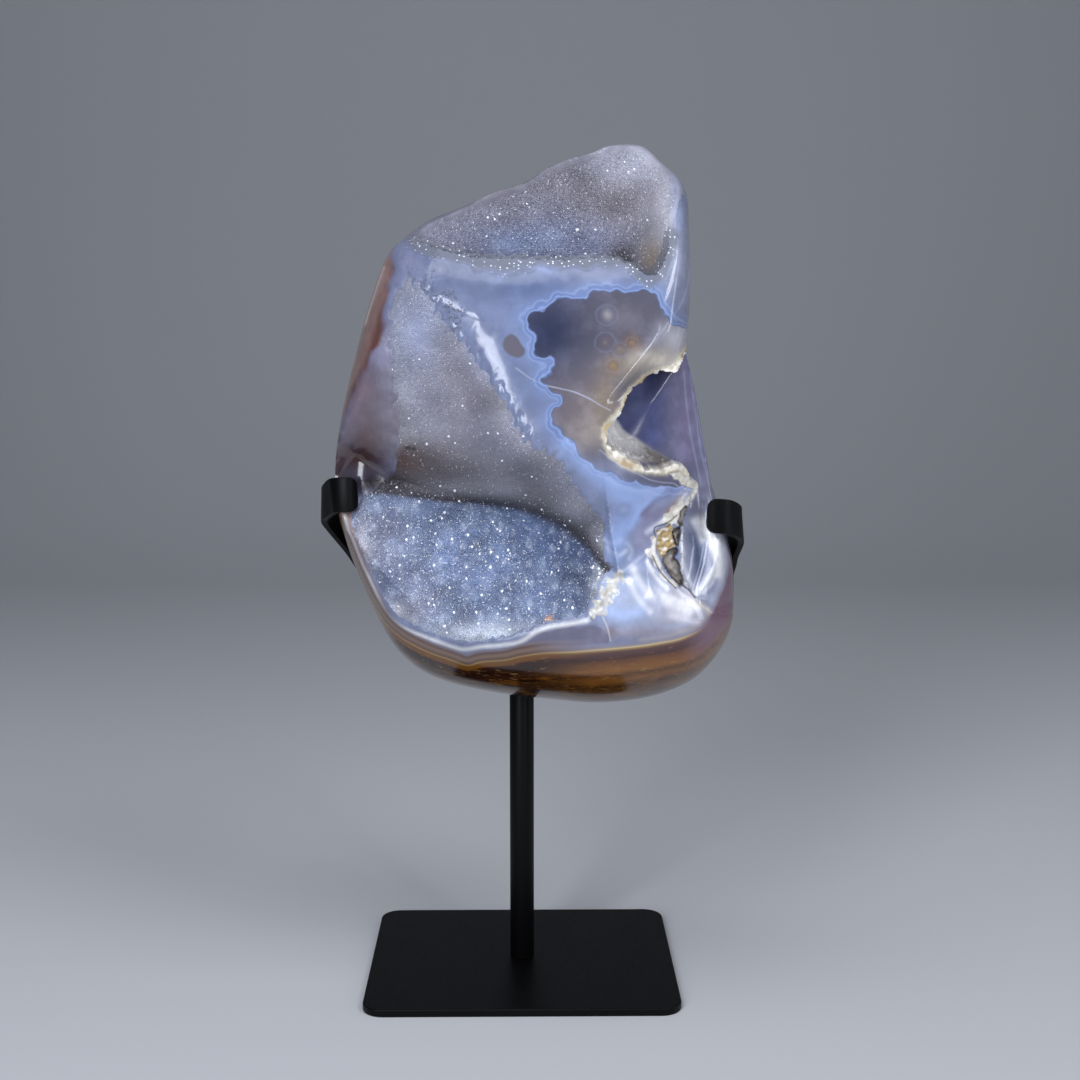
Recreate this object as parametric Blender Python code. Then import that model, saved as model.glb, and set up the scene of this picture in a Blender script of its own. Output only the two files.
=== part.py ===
# A polished agate geode, held upright by a bent flat bar on a steel rod and plate.
#
# The world is in metres, +Z up, with the origin under the middle of the base plate.
# The stone faces -Y. Its relief is worked in millimetres: x to the right, z up from the
# table, and depth towards the viewer, measured from the plane of the stone's outline.

import math

import bmesh
import bpy
import numpy as np
from mathutils import Vector, geometry
from mathutils.bvhtree import BVHTree

MM = 0.001
FIT_GAP = 0.3  # clearance between pieces that touch

# Stand: 3 mm plate, 3/8 inch rod, 1/2 inch flat bar.
PLATE_WIDTH = 120.0
PLATE_DEPTH = 100.0
PLATE_THICKNESS = 3.0
PLATE_CORNER_RADIUS = 8.0
PLATE_EDGE_BEVEL = 0.5
ROD_RADIUS = 4.75
BAR_WIDTH = 12.7
BAR_THICKNESS = 2.5
BAR_TIP_RADIUS = 3.5

# Stone.
STONE_Y = -15.0  # plane of the outline; the rod stands behind it
CORE = (4.0, 212.0)  # every rim point is in sight of this one
BACK_BULGE = 40.0
FACE_BULGE = 44.0
BELLY_EXTRA = 12.0  # the bottom of the face stands further out
CROWN_LESS = 8.0
FACE_ROUNDNESS = 3.2
BACK_ROUNDNESS = 2.6

# Outline seen from the front, clockwise from the peak.
OUTLINE = [
    (38.0, 320.0), (44.8, 318.9), (51.4, 313.4), (57.9, 307.2), (61.0, 299.9),
    (61.6, 289.0), (62.1, 274.6), (61.8, 260.1), (60.6, 246.8), (63.5, 234.2),
    (67.1, 215.7), (70.9, 197.0), (75.5, 182.0), (79.7, 167.3), (80.7, 153.8),
    (79.5, 141.5), (73.9, 129.8), (64.2, 120.1), (49.1, 114.1), (30.0, 111.9),
    (10.8, 113.5), (-8.0, 116.1), (-26.7, 120.6), (-38.8, 126.3), (-47.6, 134.9),
    (-54.6, 147.4), (-60.3, 160.2), (-64.9, 172.7), (-68.4, 185.0), (-69.5, 196.9),
    (-68.7, 210.1), (-66.0, 225.0), (-62.1, 241.0), (-57.6, 257.1), (-53.0, 271.0),
    (-48.9, 280.4), (-43.2, 286.0), (-33.4, 292.8), (-21.6, 297.4), (-9.5, 303.0),
    (0.4, 305.9), (9.9, 311.4), (18.7, 315.0), (26.6, 317.2), (31.0, 319.2),
]

# Polished facets of the face: a point of the plane, its depth, and its slopes in x and z.
MAIN_FACET = ((26.0, 253.0), 38.0, 0.0, -0.19)
LEDGE_FACET = ((0.0, 268.0), 34.0, 0.0, -0.60)
RIGHT_FACET = ((34.6, 234.0), 41.6, -1.10, 0.71)
RIGHT_FACET_END = ((34.6, 228.0), 41.6, 0.0, -1.2)
SIDE_FACET = ((48.0, 228.0), 16.0, -0.62, -0.20)

# Valley between the wall and the floor of the front hollow: x, z and depth.
VALLEY = [
    (-66.0, 192.9, 9.0), (-45.0, 191.8, 11.0), (-30.0, 190.6, 12.0), (-4.0, 189.9, 13.0),
    (7.0, 187.3, 14.0), (15.0, 183.9, 16.0), (23.5, 177.9, 19.0), (29.0, 170.5, 24.0),
    (34.0, 160.0, 34.0),
]

# Where the front hollow breaks through the polish, and so where its crystals show.
FRONT_DRUZY = [
    (-43.0, 273.5), (-33.5, 270.0), (-24.0, 264.6), (-15.0, 254.6), (-8.5, 242.9),
    (-4.3, 231.8), (-0.4, 222.2), (8.3, 216.0), (15.5, 209.0), (20.8, 199.8),
    (28.0, 193.2), (34.5, 185.4), (38.0, 177.2), (35.2, 169.4), (30.4, 162.0),
    (27.4, 155.0), (22.9, 151.0), (12.3, 149.4), (3.0, 146.6), (-7.7, 143.0),
    (-18.4, 140.6), (-29.1, 141.0), (-38.0, 144.0), (-45.4, 149.4), (-51.4, 157.2),
    (-57.0, 167.4), (-60.5, 177.0), (-62.0, 186.0), (-57.5, 193.5), (-49.0, 199.0),
    (-44.0, 208.0), (-43.0, 221.0), (-45.5, 236.0), (-46.0, 252.0), (-45.5, 264.0),
]

# The hollow itself runs on past the crystals to the left rim.
FRONT_HOLLOW = FRONT_DRUZY[:26] + [
    (-66.0, 176.0), (-76.0, 190.0), (-76.0, 215.0), (-70.0, 228.0), (-56.0, 246.0),
    (-49.0, 262.0),
]

# Niche under the peak, open at the top: its lip from left to right, then round the crown.
NICHE_LIP = [
    (-41.5, 286.6), (-38.0, 284.4), (-32.6, 283.0), (-28.0, 281.3), (-22.8, 279.9),
    (-14.4, 278.5), (-0.4, 278.2), (13.7, 277.8), (27.7, 278.5), (35.5, 277.1),
    (40.6, 275.0), (45.0, 272.2), (48.0, 273.8), (51.0, 279.6), (53.0, 286.6),
    (55.4, 294.6), (59.0, 301.5),
]
NICHE_CAVITY = NICHE_LIP + [(72.0, 312.0), (60.0, 332.0), (10.0, 332.0), (-50.0, 306.0)]
NICHE_DRUZY = NICHE_LIP[1:-1] + [
    (56.5, 300.5), (54.0, 306.5), (48.5, 311.6), (43.0, 316.0), (37.5, 317.4),
    (30.5, 316.6), (19.4, 312.4), (10.8, 308.6), (1.4, 303.6), (-8.6, 299.8),
    (-20.6, 294.8), (-31.4, 289.6),
]

# Broken hollow in the right edge, open to the right.
SIDE_HOLLOW = [
    (57.8, 245.4), (54.2, 239.8), (49.2, 239.4), (45.7, 238.3), (42.2, 235.9),
    (38.6, 233.4), (36.5, 230.6), (35.0, 226.3), (31.6, 223.1), (29.0, 219.9),
    (28.7, 215.6), (29.9, 211.7), (33.1, 208.1), (37.4, 205.2), (42.4, 204.5),
    (49.6, 203.0), (55.0, 204.1), (59.0, 201.3), (62.2, 197.7), (60.5, 192.6),
    (58.4, 187.2), (57.4, 181.6), (57.2, 174.4), (58.0, 165.2), (62.6, 157.2),
    (72.0, 150.0), (90.0, 150.0), (90.0, 215.0), (76.0, 238.0), (68.0, 250.0),
]
SIDE_DRUZY = [
    (30.6, 219.6), (34.0, 220.6), (36.8, 216.8), (42.2, 213.6), (47.6, 210.0),
    (53.4, 206.6), (55.0, 205.4), (49.6, 204.4), (42.6, 205.9), (38.0, 206.6),
    (34.2, 209.4), (31.2, 212.6), (30.2, 216.2),
]
SCOOP_CENTRE = (38.5, 229.0)  # smooth dark wall inside the side hollow
SCOOP_RADII = (13.0, 15.0)
SCOOP_DEPTH = 6.0
SCOOP_RISE = 14.0

# Trough down the lower part of the side facet: x and z.
SIDE_GROOVE = [(66.0, 158.0), (62.5, 173.0), (60.5, 187.0)]
GROOVE_DEPTH = 3.0

# Crack that runs down from the side hollow, with broken rind along it.
CREVICE = [
    (47.4, 184.0), (51.6, 186.4), (56.0, 186.6), (55.8, 178.0), (55.0, 172.7),
    (57.0, 167.3), (56.4, 162.6), (51.9, 164.6), (48.3, 170.3), (45.9, 175.5),
]
CREVICE_DEPTH = 7.0

# Crystal crust.
CRUST_THICKNESS = 1.5
CRYSTAL_HEIGHT = 1.3
FRONT_CRYSTAL_SPACING = 5.2
NICHE_CRYSTAL_SPACING = 4.6
SIDE_CRYSTAL_SPACING = 3.2

# Route of the bar round the stone, left tip to right tip: x, y, z in the world.
BAR_ROUTE = [
    (-60.3, -30.0, 193.4), (-66.5, -27.5, 192.6), (-71.5, -23.0, 190.4), (-73.9, -15.0, 187.0),
    (-71.0, -7.0, 181.0), (-64.0, 1.0, 170.5), (-55.5, 6.5, 156.0), (-42.0, 9.0, 138.0),
    (-25.0, 8.0, 124.0), (-9.0, 6.3, 117.4), (0.0, 6.3, 116.6), (9.0, 6.3, 116.4),
    (27.0, 8.0, 118.5), (48.0, 9.0, 127.0), (65.0, 8.0, 140.5), (75.0, 3.0, 156.5),
    (80.3, -6.0, 170.5), (82.2, -15.5, 178.6), (80.2, -23.5, 182.3), (74.4, -29.5, 184.6),
    (67.2, -32.0, 185.6),
]
BAR_CLEARANCE = 0.6
BAR_STEP = 2.6


def smooth_step(low, high, value):
    share = np.clip((value - low) / (high - low), 0.0, 1.0)
    return share * share * (3.0 - 2.0 * share)


def smooth_min(a, b, radius):
    share = np.clip(0.5 + 0.5 * (b - a) / radius, 0.0, 1.0)
    return b + (a - b) * share - radius * share * (1.0 - share)


def smooth_max(a, b, radius):
    return -smooth_min(-a, -b, radius)


def soft_ramp(value, radius):
    """Zero below zero, then value itself, with a round start."""
    return radius * np.logaddexp(0.0, value / radius)


def curve_through(points, steps, closed):
    """Points of a smooth curve through the given ones, as rows."""
    p = np.array(points, float)
    before, after, last = np.roll(p, 1, 0), np.roll(p, -1, 0), np.roll(p, -2, 0)
    if not closed:
        before[0] = 2.0 * p[0] - p[1]
        last[-2] = 2.0 * p[-1] - p[-2]
    t = (np.arange(steps) / steps)[None, :, None]
    a, b, c, d = (q[:, None, :] for q in (before, p, after, last))
    curve = 0.5 * (
        2.0 * b
        + (c - a) * t
        + (2.0 * a - 5.0 * b + 4.0 * c - d) * t**2
        + (3.0 * b - a - 3.0 * c + d) * t**3
    )
    if closed:
        return curve.reshape(-1, p.shape[1])
    return np.vstack([curve[:-1].reshape(-1, p.shape[1]), p[-1:]])


def even_steps(line, spacing, closed):
    """The line again, with points an even distance apart."""
    if closed:
        line = np.vstack([line, line[:1]])
    lengths = np.concatenate([[0.0], np.cumsum(np.linalg.norm(np.diff(line, axis=0), axis=1))])
    count = max(4, round(lengths[-1] / spacing))
    at = np.linspace(0.0, lengths[-1], count + 1)
    if closed:
        at = at[:-1]
    return np.stack([np.interp(at, lengths, line[:, k]) for k in range(line.shape[1])], 1)


def depth_inside(x, z, loop):
    """Distance to a closed outline, positive inside it."""
    p = np.stack([np.ravel(x), np.ravel(z)], 1)
    nearest = np.full(len(p), 1e9)
    inside = np.zeros(len(p), bool)
    for a, b in zip(loop, np.roll(loop, -1, 0)):
        side = b - a
        share = np.clip(((p - a) @ side) / max(side @ side, 1e-12), 0.0, 1.0)
        nearest = np.minimum(nearest, np.linalg.norm(p - a - share[:, None] * side, axis=1))
        straddles = (a[1] > p[:, 1]) != (b[1] > p[:, 1])
        rise = side[1] if side[1] else 1e-12
        inside ^= straddles & (p[:, 0] < a[0] + side[0] * (p[:, 1] - a[1]) / rise)
    return np.where(inside, nearest, -nearest).reshape(np.shape(x))


def facet(x, z, plane):
    (x0, z0), depth, slope_x, slope_z = plane
    return depth + slope_x * (x - x0) + slope_z * (z - z0)


RIM = curve_through(OUTLINE, 8, closed=True)
RIM_ANGLE = np.arctan2(RIM[:, 1] - CORE[1], RIM[:, 0] - CORE[0])
RIM_RADIUS = np.hypot(RIM[:, 0] - CORE[0], RIM[:, 1] - CORE[1])
RIM_ORDER = np.argsort(RIM_ANGLE)
HOLLOW_LOOP = curve_through(FRONT_HOLLOW, 4, closed=True)


def rim_share(x, z):
    """0 at the core and 1 on the outline."""
    angle = np.arctan2(z - CORE[1], x - CORE[0])
    reach = np.interp(angle, RIM_ANGLE[RIM_ORDER], RIM_RADIUS[RIM_ORDER], period=2.0 * math.pi)
    return np.hypot(x - CORE[0], z - CORE[1]) / reach


def lumps(x, z, size, height, seed):
    """Rounded bumps with creases between them, as chalcedony grows."""
    dice = np.random.RandomState(seed)
    columns, rows = np.meshgrid(np.arange(-90, 110, size), np.arange(90, 340, size))
    cx = columns.ravel() + dice.uniform(-0.4, 0.4, columns.size) * size
    cz = rows.ravel() + dice.uniform(-0.4, 0.4, rows.size) * size
    nearest = np.full(np.shape(x), 1e9)
    for a, b in zip(cx, cz):
        nearest = np.minimum(nearest, (x - a) ** 2 + (z - b) ** 2)
    return height * (1.0 - nearest / size**2)


def rim_wander(x, z):
    """The widest line of the stone isn't quite flat."""
    angle = np.arctan2(z - CORE[1], x - CORE[0])
    sway = 2.2 * np.sin(2.0 * angle + 0.6) + 1.3 * np.sin(3.0 * angle + 2.0)
    return sway * np.minimum(rim_share(x, z), 1.0) ** 4


def polished_depth(x, z):
    """The ground and polished face, before the hollows."""
    bulge = (
        FACE_BULGE
        + BELLY_EXTRA * smooth_step(190.0, 120.0, z)
        - CROWN_LESS * smooth_step(240.0, 320.0, z)
    )
    dome = bulge * np.sqrt(np.clip(1.0 - rim_share(x, z) ** FACE_ROUNDNESS, 0.0, 1.0))
    right = smooth_max(facet(x, z, RIGHT_FACET), facet(x, z, RIGHT_FACET_END), 4.0)
    face = smooth_min(facet(x, z, MAIN_FACET), facet(x, z, LEDGE_FACET), 5.0)
    return smooth_min(smooth_min(face, right, 2.0), dome, 3.0)


def front_hollow_depth(x, z):
    """Wall above and floor below a valley, both lumpy."""
    valley = np.array(VALLEY)
    level = np.interp(x, valley[:, 0], valley[:, 1])
    depth = np.interp(x, valley[:, 0], valley[:, 2])
    above = np.maximum(z - level, -12.0)
    below = np.maximum(level - z, -12.0)
    lean = 0.20 * np.minimum(x + 15.0, 0.0)
    wall = depth + 20.0 * (1.0 - np.exp(-above / 22.0)) + 0.07 * above + lean
    floor = depth + 21.0 * (1.0 - np.exp(-below / 34.0)) + 0.30 * below
    return smooth_max(wall, floor, 2.5) + lumps(x, z, 19.0, 1.8, seed=3) - 0.9


def face_depth(x, z):
    """The front of the stone without the niche and the side hollow."""
    polished = polished_depth(x, z)
    inside = depth_inside(x, z, HOLLOW_LOOP)
    worn = polished - 0.95 * soft_ramp(inside - 0.5, 1.5)
    carved = smooth_min(polished, smooth_max(worn, front_hollow_depth(x, z), 1.5), 0.6)
    return carved + rim_wander(x, z)


def niche_depth(x, z):
    """Back wall of the niche: a shallow bowl, deepest behind the lip."""
    lift = 4.0 + 5.0 * ((x - 12.0) / 46.0) ** 2 - 0.12 * (z - 290.0)
    right = soft_ramp(x - 44.0, 4.0) * 0.9
    return lift + right + lumps(x, z, 21.0, 2.6, seed=8) - 1.3


def side_depth(x, z):
    """Floor of the side hollow: polished facet, smooth scoop and crusty ledge."""
    plane = facet(x, z, SIDE_FACET) + 0.42 * soft_ramp(192.0 - z, 4.0)
    groove = np.array(SIDE_GROOVE)
    middle = np.interp(z, groove[:, 1], groove[:, 0])
    plane = plane - GROOVE_DEPTH * smooth_step(198.0, 184.0, z) * np.exp(-(((x - middle) / 5.0) ** 2))
    u = (x - SCOOP_CENTRE[0]) / SCOOP_RADII[0]
    v = (z - SCOOP_CENTRE[1]) / SCOOP_RADII[1]
    scoop = SCOOP_DEPTH + SCOOP_RISE * (u * u + v * v)
    floor = np.where(z > SCOOP_CENTRE[1], np.minimum(plane, scoop), smooth_min(plane, scoop, 3.0))
    ledge = 30.0 - 2.2 * (z - 203.0) * 0.9 - 1.1 * np.maximum(x - 34.0, 0.0)
    return np.maximum(floor, np.where(x < 58.0, ledge, -99.0))


def back_depth(x, z):
    """Negative: the natural back, a pebble shape with broad soft swellings."""
    dome = np.sqrt(np.clip(1.0 - rim_share(x, z) ** BACK_ROUNDNESS, 0.0, 1.0))
    return rim_wander(x, z) - dome * (BACK_BULGE + lumps(x, z, 34.0, 3.0, seed=5))


def world_of(x, z, depth):
    return np.stack([x, STONE_Y - depth, z], 1) * MM


def make_object(name, vertices, faces, material, smooth_angle=None):
    mesh = bpy.data.meshes.new(name)
    mesh.from_pydata([tuple(v) for v in vertices], [], faces)
    body = bmesh.new()
    body.from_mesh(mesh)
    bmesh.ops.remove_doubles(body, verts=body.verts, dist=1e-6)
    bmesh.ops.recalc_face_normals(body, faces=body.faces)
    body.to_mesh(mesh)
    body.free()
    made = bpy.data.objects.new(name, mesh)
    bpy.context.scene.collection.objects.link(made)
    if material:
        mesh.materials.append(material)
    if smooth_angle:
        mesh.shade_smooth()
        mesh.set_sharp_from_angle(angle=math.radians(smooth_angle))
    return made


def ring_shares(roundness, rings):
    """Shares of the way from the core to the rim, evenly spaced over the dome."""
    turn = np.linspace(0.0, 0.5 * math.pi, 200)
    profile = np.stack([np.sin(turn) ** (2.0 / roundness), 0.6 * np.cos(turn)], 1)
    length = np.linalg.norm(np.diff(profile, axis=0), axis=1).sum()
    return even_steps(profile, length / rings, closed=False)[:, 0]


def stone_body(name, front_rings, back_rings, segment, material):
    """Rings of points from the middle of the face over the rim to the middle of the back."""
    rim = even_steps(RIM, segment, closed=True)
    around = len(rim)
    front = ring_shares(FACE_ROUNDNESS, front_rings)[1:]
    back = ring_shares(BACK_ROUNDNESS, back_rings)[1:-1][::-1]
    rows = []
    for shares, surface in ((front, face_depth), (back, back_depth)):
        for share in shares:
            x, z = (CORE[k] + share * (rim[:, k] - CORE[k]) for k in (0, 1))
            rows.append(world_of(x, z, surface(x, z)))
    core = np.array([CORE[0]]), np.array([CORE[1]])
    poles = [world_of(*core, surface(*core)) for surface in (face_depth, back_depth)]
    vertices = np.vstack(rows + poles)
    faces = []
    for row in range(len(rows) - 1):
        for k in range(around):
            a, b = row * around + k, row * around + (k + 1) % around
            faces += [(a, b, b + around), (a, b + around, a + around)]
    first, last = len(vertices) - 2, len(vertices) - 1
    start = (len(rows) - 1) * around
    for k in range(around):
        faces += [(first, (k + 1) % around, k), (last, start + k, start + (k + 1) % around)]
    return make_object(name, vertices, faces, material)


def planned_region(outline, spacing, seed):
    """Triangles that fill an outline: points, faces, and the loop of the border."""
    loop = even_steps(curve_through(outline, 6, closed=True), spacing, closed=True)
    dice = np.random.RandomState(seed)
    low, high = loop.min(0), loop.max(0)
    row_height = spacing * math.sqrt(0.75)
    inner = []
    for row in range(int((high[1] - low[1]) / row_height) + 1):
        x = np.arange(low[0] + (row % 2) * spacing / 2.0, high[0], spacing)
        inner.append(np.stack([x, np.full(len(x), low[1] + row * row_height)], 1))
    inner = np.vstack(inner)
    inner += dice.uniform(-0.22, 0.22, inner.shape) * spacing
    inner = inner[depth_inside(inner[:, 0], inner[:, 1], loop) > 0.55 * spacing]
    border = len(loop)
    edges = [(k, (k + 1) % border) for k in range(border)]
    spots = [Vector(p) for p in np.vstack([loop, inner])]
    points, _, faces, *_ = geometry.delaunay_2d_cdt(spots, edges, [], 1, 1e-5)
    return np.array([tuple(p) for p in points]), [tuple(f) for f in faces], border


def slab(name, region, low, high, material=None, grow=0.0):
    """A closed solid over a planned region, between two depths at each point."""
    points, faces, border = region
    points = points.copy()
    loop = points[:border]
    along = np.roll(loop, -1, 0) - np.roll(loop, 1, 0)
    outward = np.stack([along[:, 1], -along[:, 0]], 1) / np.linalg.norm(along, axis=1)[:, None]
    if depth_inside(*(loop + 0.01 * outward)[:1].T, loop)[0] > 0.0:
        outward = -outward
    points[:border] += grow * outward
    count = len(points)
    vertices = np.vstack([world_of(points[:, 0], points[:, 1], d) for d in (high, low)])
    solid = [tuple(f) for f in faces] + [tuple(count + k for k in reversed(f)) for f in faces]
    for k in range(border):
        after = (k + 1) % border
        solid.append((k, count + k, count + after, after))
    return make_object(name, vertices, solid, material)


def as_cutter(obj):
    obj.hide_render = True
    obj.display_type = "WIRE"
    return obj


def cut(target, cutter):
    modifier = target.modifiers.new(cutter.name, "BOOLEAN")
    modifier.operation = "DIFFERENCE"
    modifier.solver = "EXACT"
    modifier.object = as_cutter(cutter)


def crust(name, outline, spacing, surface, stone, material, seed):
    """A thin lining of crystals, and the recess in the stone that holds it."""
    region = planned_region(outline, spacing, seed)
    points, _, border = region
    depth = surface(points[:, 0], points[:, 1])
    tips = np.random.RandomState(seed + 1).uniform(0.0, 1.0, len(points)) ** 1.5
    tips[:border] *= 0.2
    made = slab(name, region, depth - CRUST_THICKNESS, depth + CRYSTAL_HEIGHT * tips, material)
    bed = depth - CRUST_THICKNESS - 2 * FIT_GAP
    cut(stone, slab(name + "_bed", region, bed, depth + 60.0, grow=FIT_GAP))
    return made


def stone_with_hollows(material):
    stone = stone_body("agate_stone", front_rings=22, back_rings=11, segment=8.6, material=material)
    for name, outline, spacing, surface in (
        ("niche_cavity", NICHE_CAVITY, 7.0, niche_depth),
        ("side_cavity", SIDE_HOLLOW, 4.2, side_depth),
    ):
        region = planned_region(outline, spacing, seed=1)
        depth = surface(region[0][:, 0], region[0][:, 1])
        cut(stone, slab(name, region, depth, np.full(len(depth), 90.0)))
    region = planned_region(CREVICE, 3.5, seed=2)
    depth = face_depth(region[0][:, 0], region[0][:, 1])
    cut(stone, slab("crevice", region, depth - CREVICE_DEPTH, depth + 20.0))
    return stone


def round_rectangle(width, depth, radius, steps):
    corners = ((1, 1, 0), (-1, 1, 90), (-1, -1, 180), (1, -1, 270))
    points = []
    for side_x, side_y, start in corners:
        for k in range(steps + 1):
            angle = math.radians(start + 90.0 * k / steps)
            points.append((
                side_x * (width / 2 - radius) + radius * math.cos(angle),
                side_y * (depth / 2 - radius) + radius * math.sin(angle),
            ))
    return points


def base_plate(material):
    outline = round_rectangle(PLATE_WIDTH, PLATE_DEPTH, PLATE_CORNER_RADIUS, 8)
    count = len(outline)
    vertices = [(x * MM, y * MM, z * MM) for z in (0.0, PLATE_THICKNESS) for x, y in outline]
    faces = [tuple(range(count))[::-1], tuple(range(count, 2 * count))]
    for k in range(count):
        after = (k + 1) % count
        faces.append((k, after, count + after, count + k))
    plate = make_object("base_plate", vertices, faces, material, smooth_angle=40)
    bevel = plate.modifiers.new("edge", "BEVEL")
    bevel.width = PLATE_EDGE_BEVEL * MM
    bevel.segments = 1
    bevel.limit_method = "ANGLE"
    bevel.angle_limit = math.radians(60)
    return plate


def stone_tree(stone):
    graph = bpy.context.evaluated_depsgraph_get()
    return BVHTree.FromObject(stone, graph)


def rod(tree, material):
    """Stands on the plate, and its top just meets the underside of the stone."""
    low = PLATE_THICKNESS + FIT_GAP
    top = 1e9
    for k in range(16):
        angle = 2.0 * math.pi * k / 16
        spot = Vector((ROD_RADIUS * math.cos(angle), ROD_RADIUS * math.sin(angle), 0.0)) * MM
        hit = tree.ray_cast(spot, Vector((0, 0, 1)))[0]
        top = min(top, hit.z / MM)
    top -= FIT_GAP
    bpy.ops.mesh.primitive_cylinder_add(
        vertices=32,
        radius=ROD_RADIUS * MM,
        depth=(top - low) * MM,
        location=(0.0, 0.0, 0.5 * (low + top) * MM),
    )
    made = bpy.context.object
    made.name = "rod"
    made.data.materials.append(material)
    made.data.shade_smooth()
    made.data.set_sharp_from_angle(angle=math.radians(40))
    return made


def bar_stations(route):
    """Distances along the bar: close together where the ends are rounded."""
    length = np.linalg.norm(np.diff(route, axis=0), axis=1).sum()
    tip = BAR_TIP_RADIUS * np.array([0.0, 0.08, 0.3, 0.65, 1.0])
    middle = np.linspace(tip[-1], length - tip[-1], round(length / BAR_STEP))[1:-1]
    return np.concatenate([tip, middle, length - tip[::-1]])


def at_distance(line, stations):
    run = np.concatenate([[0.0], np.cumsum(np.linalg.norm(np.diff(line, axis=0), axis=1))])
    return np.stack([np.interp(stations, run, line[:, k]) for k in range(3)], 1)


def height_over(tree, point):
    """Signed distance from the stone, and the direction straight away from it, in mm."""
    spot, normal, _, distance = tree.find_nearest(Vector(point) * MM)
    away = (Vector(point) * MM - spot).normalized()
    if away.dot(normal) < 0.0:
        return -distance / MM, -np.array(away)
    return distance / MM, np.array(away)


def bar_frame(tree, line):
    """At each point of the bar: along it, across it, and out of its outer flat side."""
    along = np.gradient(line, axis=0)
    along /= np.linalg.norm(along, axis=1)[:, None]
    out = np.array([height_over(tree, point)[1] for point in line])
    out[:, 2] *= 1.0 - 0.85 * smooth_step(150.0, 172.0, line[:, 2])  # upright at the claws
    for _ in range(14):
        out[1:-1] = out[:-2] + 2.0 * out[1:-1] + out[2:]
        out /= np.linalg.norm(out, axis=1)[:, None]
    at_rod = np.exp(-((line[:, :1] / 14.0) ** 4))
    out = out * (1.0 - at_rod) + np.array([0.0, 1.0, 0.0]) * at_rod
    out /= np.linalg.norm(out, axis=1)[:, None]
    across = np.cross(along, out)
    across /= np.linalg.norm(across, axis=1)[:, None]
    return along, across, np.cross(across, along)


def bar_line(tree):
    """Centre line of the bent bar, moved out wherever it would touch the stone."""
    line = even_steps(curve_through(BAR_ROUTE, 12, closed=False), 2.0, closed=False)
    for step in range(8):
        _, across, out = bar_frame(tree, line)
        inner = line - out * BAR_THICKNESS / 2
        short = np.zeros(len(line))
        for share in (-1.0, -0.5, 0.0, 0.5, 1.0):
            spots = inner + across * share * BAR_WIDTH / 2
            short = np.maximum(short, [BAR_CLEARANCE - height_over(tree, spot)[0] for spot in spots])
        if step < 7:
            short[1:-1] = np.maximum(short[1:-1], 0.5 * (short[:-2] + short[2:]))
        line = line + out * short[:, None]
    return line


def cradle_bar(tree, material):
    """Flat bar bent to the stone: a claw over each edge, and its middle on the rod's back."""
    line = bar_line(tree)
    stations = bar_stations(line)
    line = at_distance(line, stations)
    _, across, out = bar_frame(tree, line)
    to_tip = np.minimum(stations, stations[-1] - stations)
    short = np.clip(BAR_TIP_RADIUS - to_tip, 0.0, BAR_TIP_RADIUS)
    half = BAR_WIDTH / 2 - BAR_TIP_RADIUS + np.sqrt(BAR_TIP_RADIUS**2 - short**2)
    vertices = []
    for k in range(len(line)):
        for side, face in ((1, 1), (-1, 1), (-1, -1), (1, -1)):
            spot = line[k] + side * half[k] * across[k] + face * BAR_THICKNESS / 2 * out[k]
            vertices.append(tuple(spot * MM))
    faces = [(3, 2, 1, 0), tuple(range(len(vertices) - 4, len(vertices)))]
    for row in range(len(line) - 1):
        for k in range(4):
            a, b = row * 4 + k, row * 4 + (k + 1) % 4
            faces.append((a, b, b + 4, a + 4))
    return make_object("cradle_bar", vertices, faces, material, smooth_angle=40)


def principled(name, colour, roughness, metallic=0.0):
    material = bpy.data.materials.new(name)
    material.use_nodes = True
    shader = material.node_tree.nodes["Principled BSDF"]
    shader.inputs["Base Color"].default_value = (*colour, 1.0)
    shader.inputs["Roughness"].default_value = roughness
    shader.inputs["Metallic"].default_value = metallic
    return material


def main():
    for obj in list(bpy.data.objects):
        bpy.data.objects.remove(obj)
    agate = principled("polished_agate", (0.30, 0.33, 0.45), 0.15)
    druzy = principled("quartz_druzy", (0.33, 0.33, 0.40), 0.35)
    steel = principled("black_painted_steel", (0.012, 0.012, 0.013), 0.5)
    stone = stone_with_hollows(agate)
    crust("front_druzy", FRONT_DRUZY, FRONT_CRYSTAL_SPACING, face_depth, stone, druzy, seed=11)
    crust("niche_druzy", NICHE_DRUZY, NICHE_CRYSTAL_SPACING, niche_depth, stone, druzy, seed=21)
    crust("side_druzy", SIDE_DRUZY, SIDE_CRYSTAL_SPACING, side_depth, stone, druzy, seed=31)
    bpy.context.view_layer.update()
    tree = stone_tree(stone)
    base_plate(steel)
    rod(tree, steel)
    cradle_bar(tree, steel)


main()
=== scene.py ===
# A polished agate geode on its black steel stand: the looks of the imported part.
import math
from functools import partial

import bmesh
import bpy
import numpy as np
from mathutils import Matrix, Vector, geometry


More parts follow.
